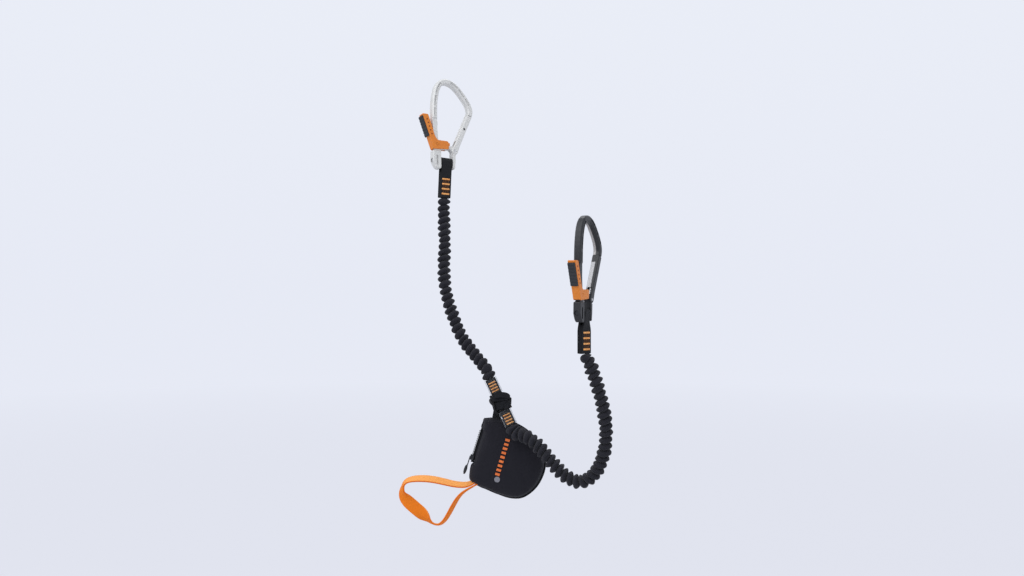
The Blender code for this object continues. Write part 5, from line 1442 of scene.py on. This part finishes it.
# %% Folded webbing
STACK_X, STACK_Z, STACK_FRONT = 114.0, 42.0, -9.3
RUNS, RUN_PITCH, RUN_REACH, BEND_REACH = 7, 3.1, 26.0, 27.4
TEAR_WIDTH, TEAR_WALL = 17.8, 1.6
route = []
for run in range(RUNS):
    y = STACK_FRONT + run * RUN_PITCH
    up = 1 if run % 2 == 0 else -1
    route += [(STACK_X, y, STACK_Z + reach * up) for reach in (-RUN_REACH, 0, RUN_REACH)]
    if run < RUNS - 1:
        route += [(STACK_X, y + RUN_PITCH / 2, STACK_Z + BEND_REACH * up)]
path = evenly(smooth(route, 5), 1.6)
folded = strap("folded_tear_webbing", path * MM, (1.0, 0, 0), TEAR_WIDTH, TEAR_WALL, across=4)
dress(folded, black_webbing, "lanyard", "black_webbing", "tear_webbing")
print("folded webbing:", round(path_length(path)), "mm in", RUNS, "runs")

# %% [markdown]
# An elastic band holds the folds together until the webbing tears out. It is a strap on a closed oblong.

# %% Elastic band
RING_ACROSS, RING_DEEP, RING_WIDTH, RING_WALL = 20.4, 23.2, 14.0, 1.0
points = [np.array((STACK_X + x, y, STACK_Z)) * MM for x, y in oblong(RING_ACROSS, RING_DEEP, 48)]
band = strap("absorber_elastic_band", points, (0, 0, 1.0), RING_WIDTH, RING_WALL)
dress(band, elastic_cloth, "lanyard", "elastic", "absorber_band")
print("elastic band made")

# %% [markdown]
# ## Zip
# The zip's tape is a narrow strap that stands out from the slanted edge of the pouch. The CAD model has its
# teeth and its slider.

# %% Zip tape
FOOT_SHARES, HEAD_SHARES = (0.103, 0.435), (0.238, 0.862)
TAPE_OUT, TAPE_WIDTH, TAPE_WALL = 2.3, 3.4, 1.6
foot_x, foot_z = on_pouch(*FOOT_SHARES)
head_x, head_z = on_pouch(*HEAD_SHARES)
zip_foot, zip_head = np.array((foot_x, 0, foot_z)), np.array((head_x, 0, head_z))
zip_length = np.linalg.norm(zip_head - zip_foot)
zip_up = (zip_head - zip_foot) / zip_length
zip_out = np.array((-zip_up[2], 0, zip_up[0]))
heights = np.linspace(0, zip_length, 30)
points = [(zip_foot + zip_out * TAPE_OUT + zip_up * height) * MM for height in heights]
tape = strap("zip_woven_tape", points, zip_out, TAPE_WIDTH, TAPE_WALL)
dress(tape, binding_cloth, "lanyard", "zip_plastic", "zip_tape")
print("zip length", round(zip_length), "mm")

# %% [markdown]
# The slider's blade ends in a moulded rubber grip that a gloved hand can find. It is a sphere pressed flat
# and drawn out along the zip, and it moves with the slider.

# %% Zip pull grip
GRIP_SIZE, GRIP_OUT, GRIP_DOWN = (1.9, 3.2, 6.0), 7.3, 10.6
deselect()
bpy.ops.mesh.primitive_uv_sphere_add(segments=24, ring_count=14, radius=1.0)
grip = bpy.context.object
grip.name = grip.data.name = "zip_pull_grip"
size = Matrix.Diagonal((*(half * MM for half in GRIP_SIZE), 1))
turn = Matrix((zip_out, (0, -1, 0), zip_up)).transposed().to_4x4()
spot = (zip_foot + zip_out * GRIP_OUT - zip_up * GRIP_DOWN) * MM
grip.data.transform(Matrix.Translation(Vector(spot)) @ turn @ size)
mend(grip)
smooth_faces(grip, 80)
dress(grip, grip_rubber, "slider", "grip_rubber")
print("grip at", [round(x / MM) for x in spot], "mm")

# %% [markdown]
# ## Small dimples on the levers
# Each lever has a row of small round dimples on both cheeks, drawn as thin dark discs whose colour is
# painted shade for their hollows. They follow the middle of the cheek, which gets wider toward the top, so
# each one's place is halfway between the cheek's two edges at its height.

# %% Lever dimples
DIMPLES, DIMPLE_FROM, DIMPLE_PITCH = 5, 12.5, 4.6
DIMPLE_RADIUS, DIMPLE_WALL, DIMPLE_BEVEL = 1.0, 0.24, 0.08
LEVER_PIN_X, LEVER_PIN_Z, CHEEK_OFF = -13.65, 20.5, 4.82
OUTER_EDGE = dict(out=4.8, height=-6.5, slope=15 / 44)
INNER_EDGE = dict(out=2.9, height=10.5, slope=8.6 / 27)


def cheek_middle(height):
    """Halfway between the cheek's two straight edges, in millimetres out from the lever's pin."""
    edges = [
        edge["out"] + (height - edge["height"]) * edge["slope"] for edge in (OUTER_EDGE, INNER_EDGE)
    ]
    return sum(edges) / 2


for side, eye in EYES.items():
    place = Matrix.Translation(Vector(eye * MM)) @ STANCES[side].to_4x4()
    dots = []
    for face in (-1, 1):
        for index in range(DIMPLES):
            height = DIMPLE_FROM + index * DIMPLE_PITCH
            deselect()
            bpy.ops.mesh.primitive_cylinder_add(
                vertices=20, radius=DIMPLE_RADIUS * MM, depth=DIMPLE_WALL * MM,
            )
            dot = bpy.context.object
            spot = Vector((LEVER_PIN_X - cheek_middle(height), face * CHEEK_OFF, LEVER_PIN_Z + height)) * MM
            dot.data.transform(place @ Matrix.Translation(spot) @ Matrix.Rotation(math.radians(90), 4, "X"))
            bevelled(dot, DIMPLE_BEVEL * MM, 1)
            dots.append(dot)
    print(side, "lever:", len(dots), "dimples")
    dots = joined(f"{side}_lever_dimples", dots)
    smooth_faces(dots, 30)
    # The discs' dark colour is painted shade for the dimples' hollows.
    dress(dots, painted_dimple_shade, f"{side}_lever", "lever_orange")

# %% [markdown]
# ## Floor and light
# The backdrop is the world itself. The camera sees it in the photograph's cool grey-white, and so do
# mirrors and clear film, while all other rays get a plain fill light from it.

# %% Backdrop colour
HORIZON, ZENITH, NEAR_FLOOR = (0.795, 0.822, 0.912), (0.82, 0.85, 0.93), (0.77, 0.79, 0.885)
FILL_COLOUR, FILL_STRENGTH, ZENITH_FROM = (0.93, 0.96, 1.0, 1.0), 0.6, 0.27


def seen_directly(tree):
    """1 for rays from the camera, off a mirror or through something clear, and 0 for others."""
    rays = tree.nodes.new("ShaderNodeLightPath").outputs
    bent = calc(tree, "MAXIMUM", rays["Is Glossy Ray"], rays["Is Transmission Ray"])
    return calc(tree, "MAXIMUM", rays["Is Camera Ray"], bent)


def mixed(tree, output, share, plain, seen):
    """Links the output to the plain shader, or to the seen one where the share is 1."""
    mix = tree.nodes.new("ShaderNodeMixShader")
    for socket, value in zip(mix.inputs, (share, plain.outputs[0], seen.outputs[0])):
        feed(tree, socket, value)
    feed_all(tree, output, Surface=mix.outputs[0])


world = bpy.data.worlds.new("studio")
bpy.context.scene.world = world
world.use_nodes = True
tree = world.node_tree
tree.nodes.clear()
direction = tree.nodes.new("ShaderNodeTexCoord").outputs["Generated"]
height = add_node(tree, "ShaderNodeSeparateXYZ", Vector=direction).outputs["Z"]
sky = blended(tree, between_values(tree, height, 0.0, ZENITH_FROM), HORIZON, ZENITH)
fill = add_node(tree, "ShaderNodeBackground", Color=FILL_COLOUR, Strength=FILL_STRENGTH)
seen = add_node(tree, "ShaderNodeBackground", Color=sky)
mixed(tree, tree.nodes.new("ShaderNodeOutputWorld"), seen_directly(tree), fill, seen)
print("backdrop made")

# %% [markdown]
# The floor is plain and pale. For the camera it glows in the backdrop's colour, and a share of its plain
# matt surface stays, so it still takes the object's shadow. Far from the object it glows fully, so its
# edge doesn't show.

# %% Floor
FLOOR_PLACE, FLOOR_RADIUS = (0.13, 0, -0.33), 9.0
GLOW_SHARE, FADE_FROM, FADE_TO = 0.85, 0.8, 5.0
deselect()
bpy.ops.mesh.primitive_circle_add(vertices=96, radius=FLOOR_RADIUS, fill_type="NGON", location=FLOOR_PLACE)
floor = bpy.context.object
floor.name = "studio_floor"
floor_finish = bpy.data.materials.new("pale_floor")
floor_finish.use_nodes = True
tree = floor_finish.node_tree
tree.nodes.clear()
matt = add_node(tree, "ShaderNodeBsdfDiffuse", Color=(0.72, 0.73, 0.76, 1.0))
far = tree.nodes.new("ShaderNodeVectorMath")
far.operation = "LENGTH"
feed(tree, far.inputs[0], tree.nodes.new("ShaderNodeTexCoord").outputs["Object"])
fade = between_values(tree, far.outputs["Value"], FADE_FROM, FADE_TO)
glow = add_node(tree, "ShaderNodeEmission", Color=blended(tree, fade, NEAR_FLOOR, HORIZON))
glow_share = calc(tree, "ADD", product(tree, fade, 1 - GLOW_SHARE), GLOW_SHARE)
share = product(tree, seen_directly(tree), glow_share)
mixed(tree, tree.nodes.new("ShaderNodeOutputMaterial"), share, matt, glow)
floor.data.materials.append(floor_finish)
print("floor at", FLOOR_PLACE)

# %% [markdown]
# Three large soft lamps light the set, since product photographs have soft shadows. The key lamp stands in
# front, high on the left, a weak fill lamp stands on the right, and the top lamp hangs above and behind.

# %% Lamps
AIM = (0.13, 0.0, 0.25)
LAMPS = {
    "key_lamp": dict(location=(-1.2, -1.4, 1.9), size=2.4, watts=30.0),
    "fill_lamp": dict(location=(1.7, -1.2, 0.5), size=2.4, watts=5.0),
    "top_lamp": dict(location=(0.3, 0.9, 2.1), size=2.2, watts=14.0),
}


def soft_lamp(name, location, size, watts):
    """A round area lamp that points at the middle of the set."""
    deselect()
    bpy.ops.object.light_add(type="AREA", location=location)
    lamp = bpy.context.object
    lamp.name = name
    lamp.data.shape = "DISK"
    lamp.data.size = size
    lamp.data.energy = watts
    lamp.rotation_euler = (Vector(AIM) - Vector(location)).to_track_quat("-Z", "Y").to_euler()
    print(name, watts, "W")


for name, settings in LAMPS.items():
    soft_lamp(name, **settings)
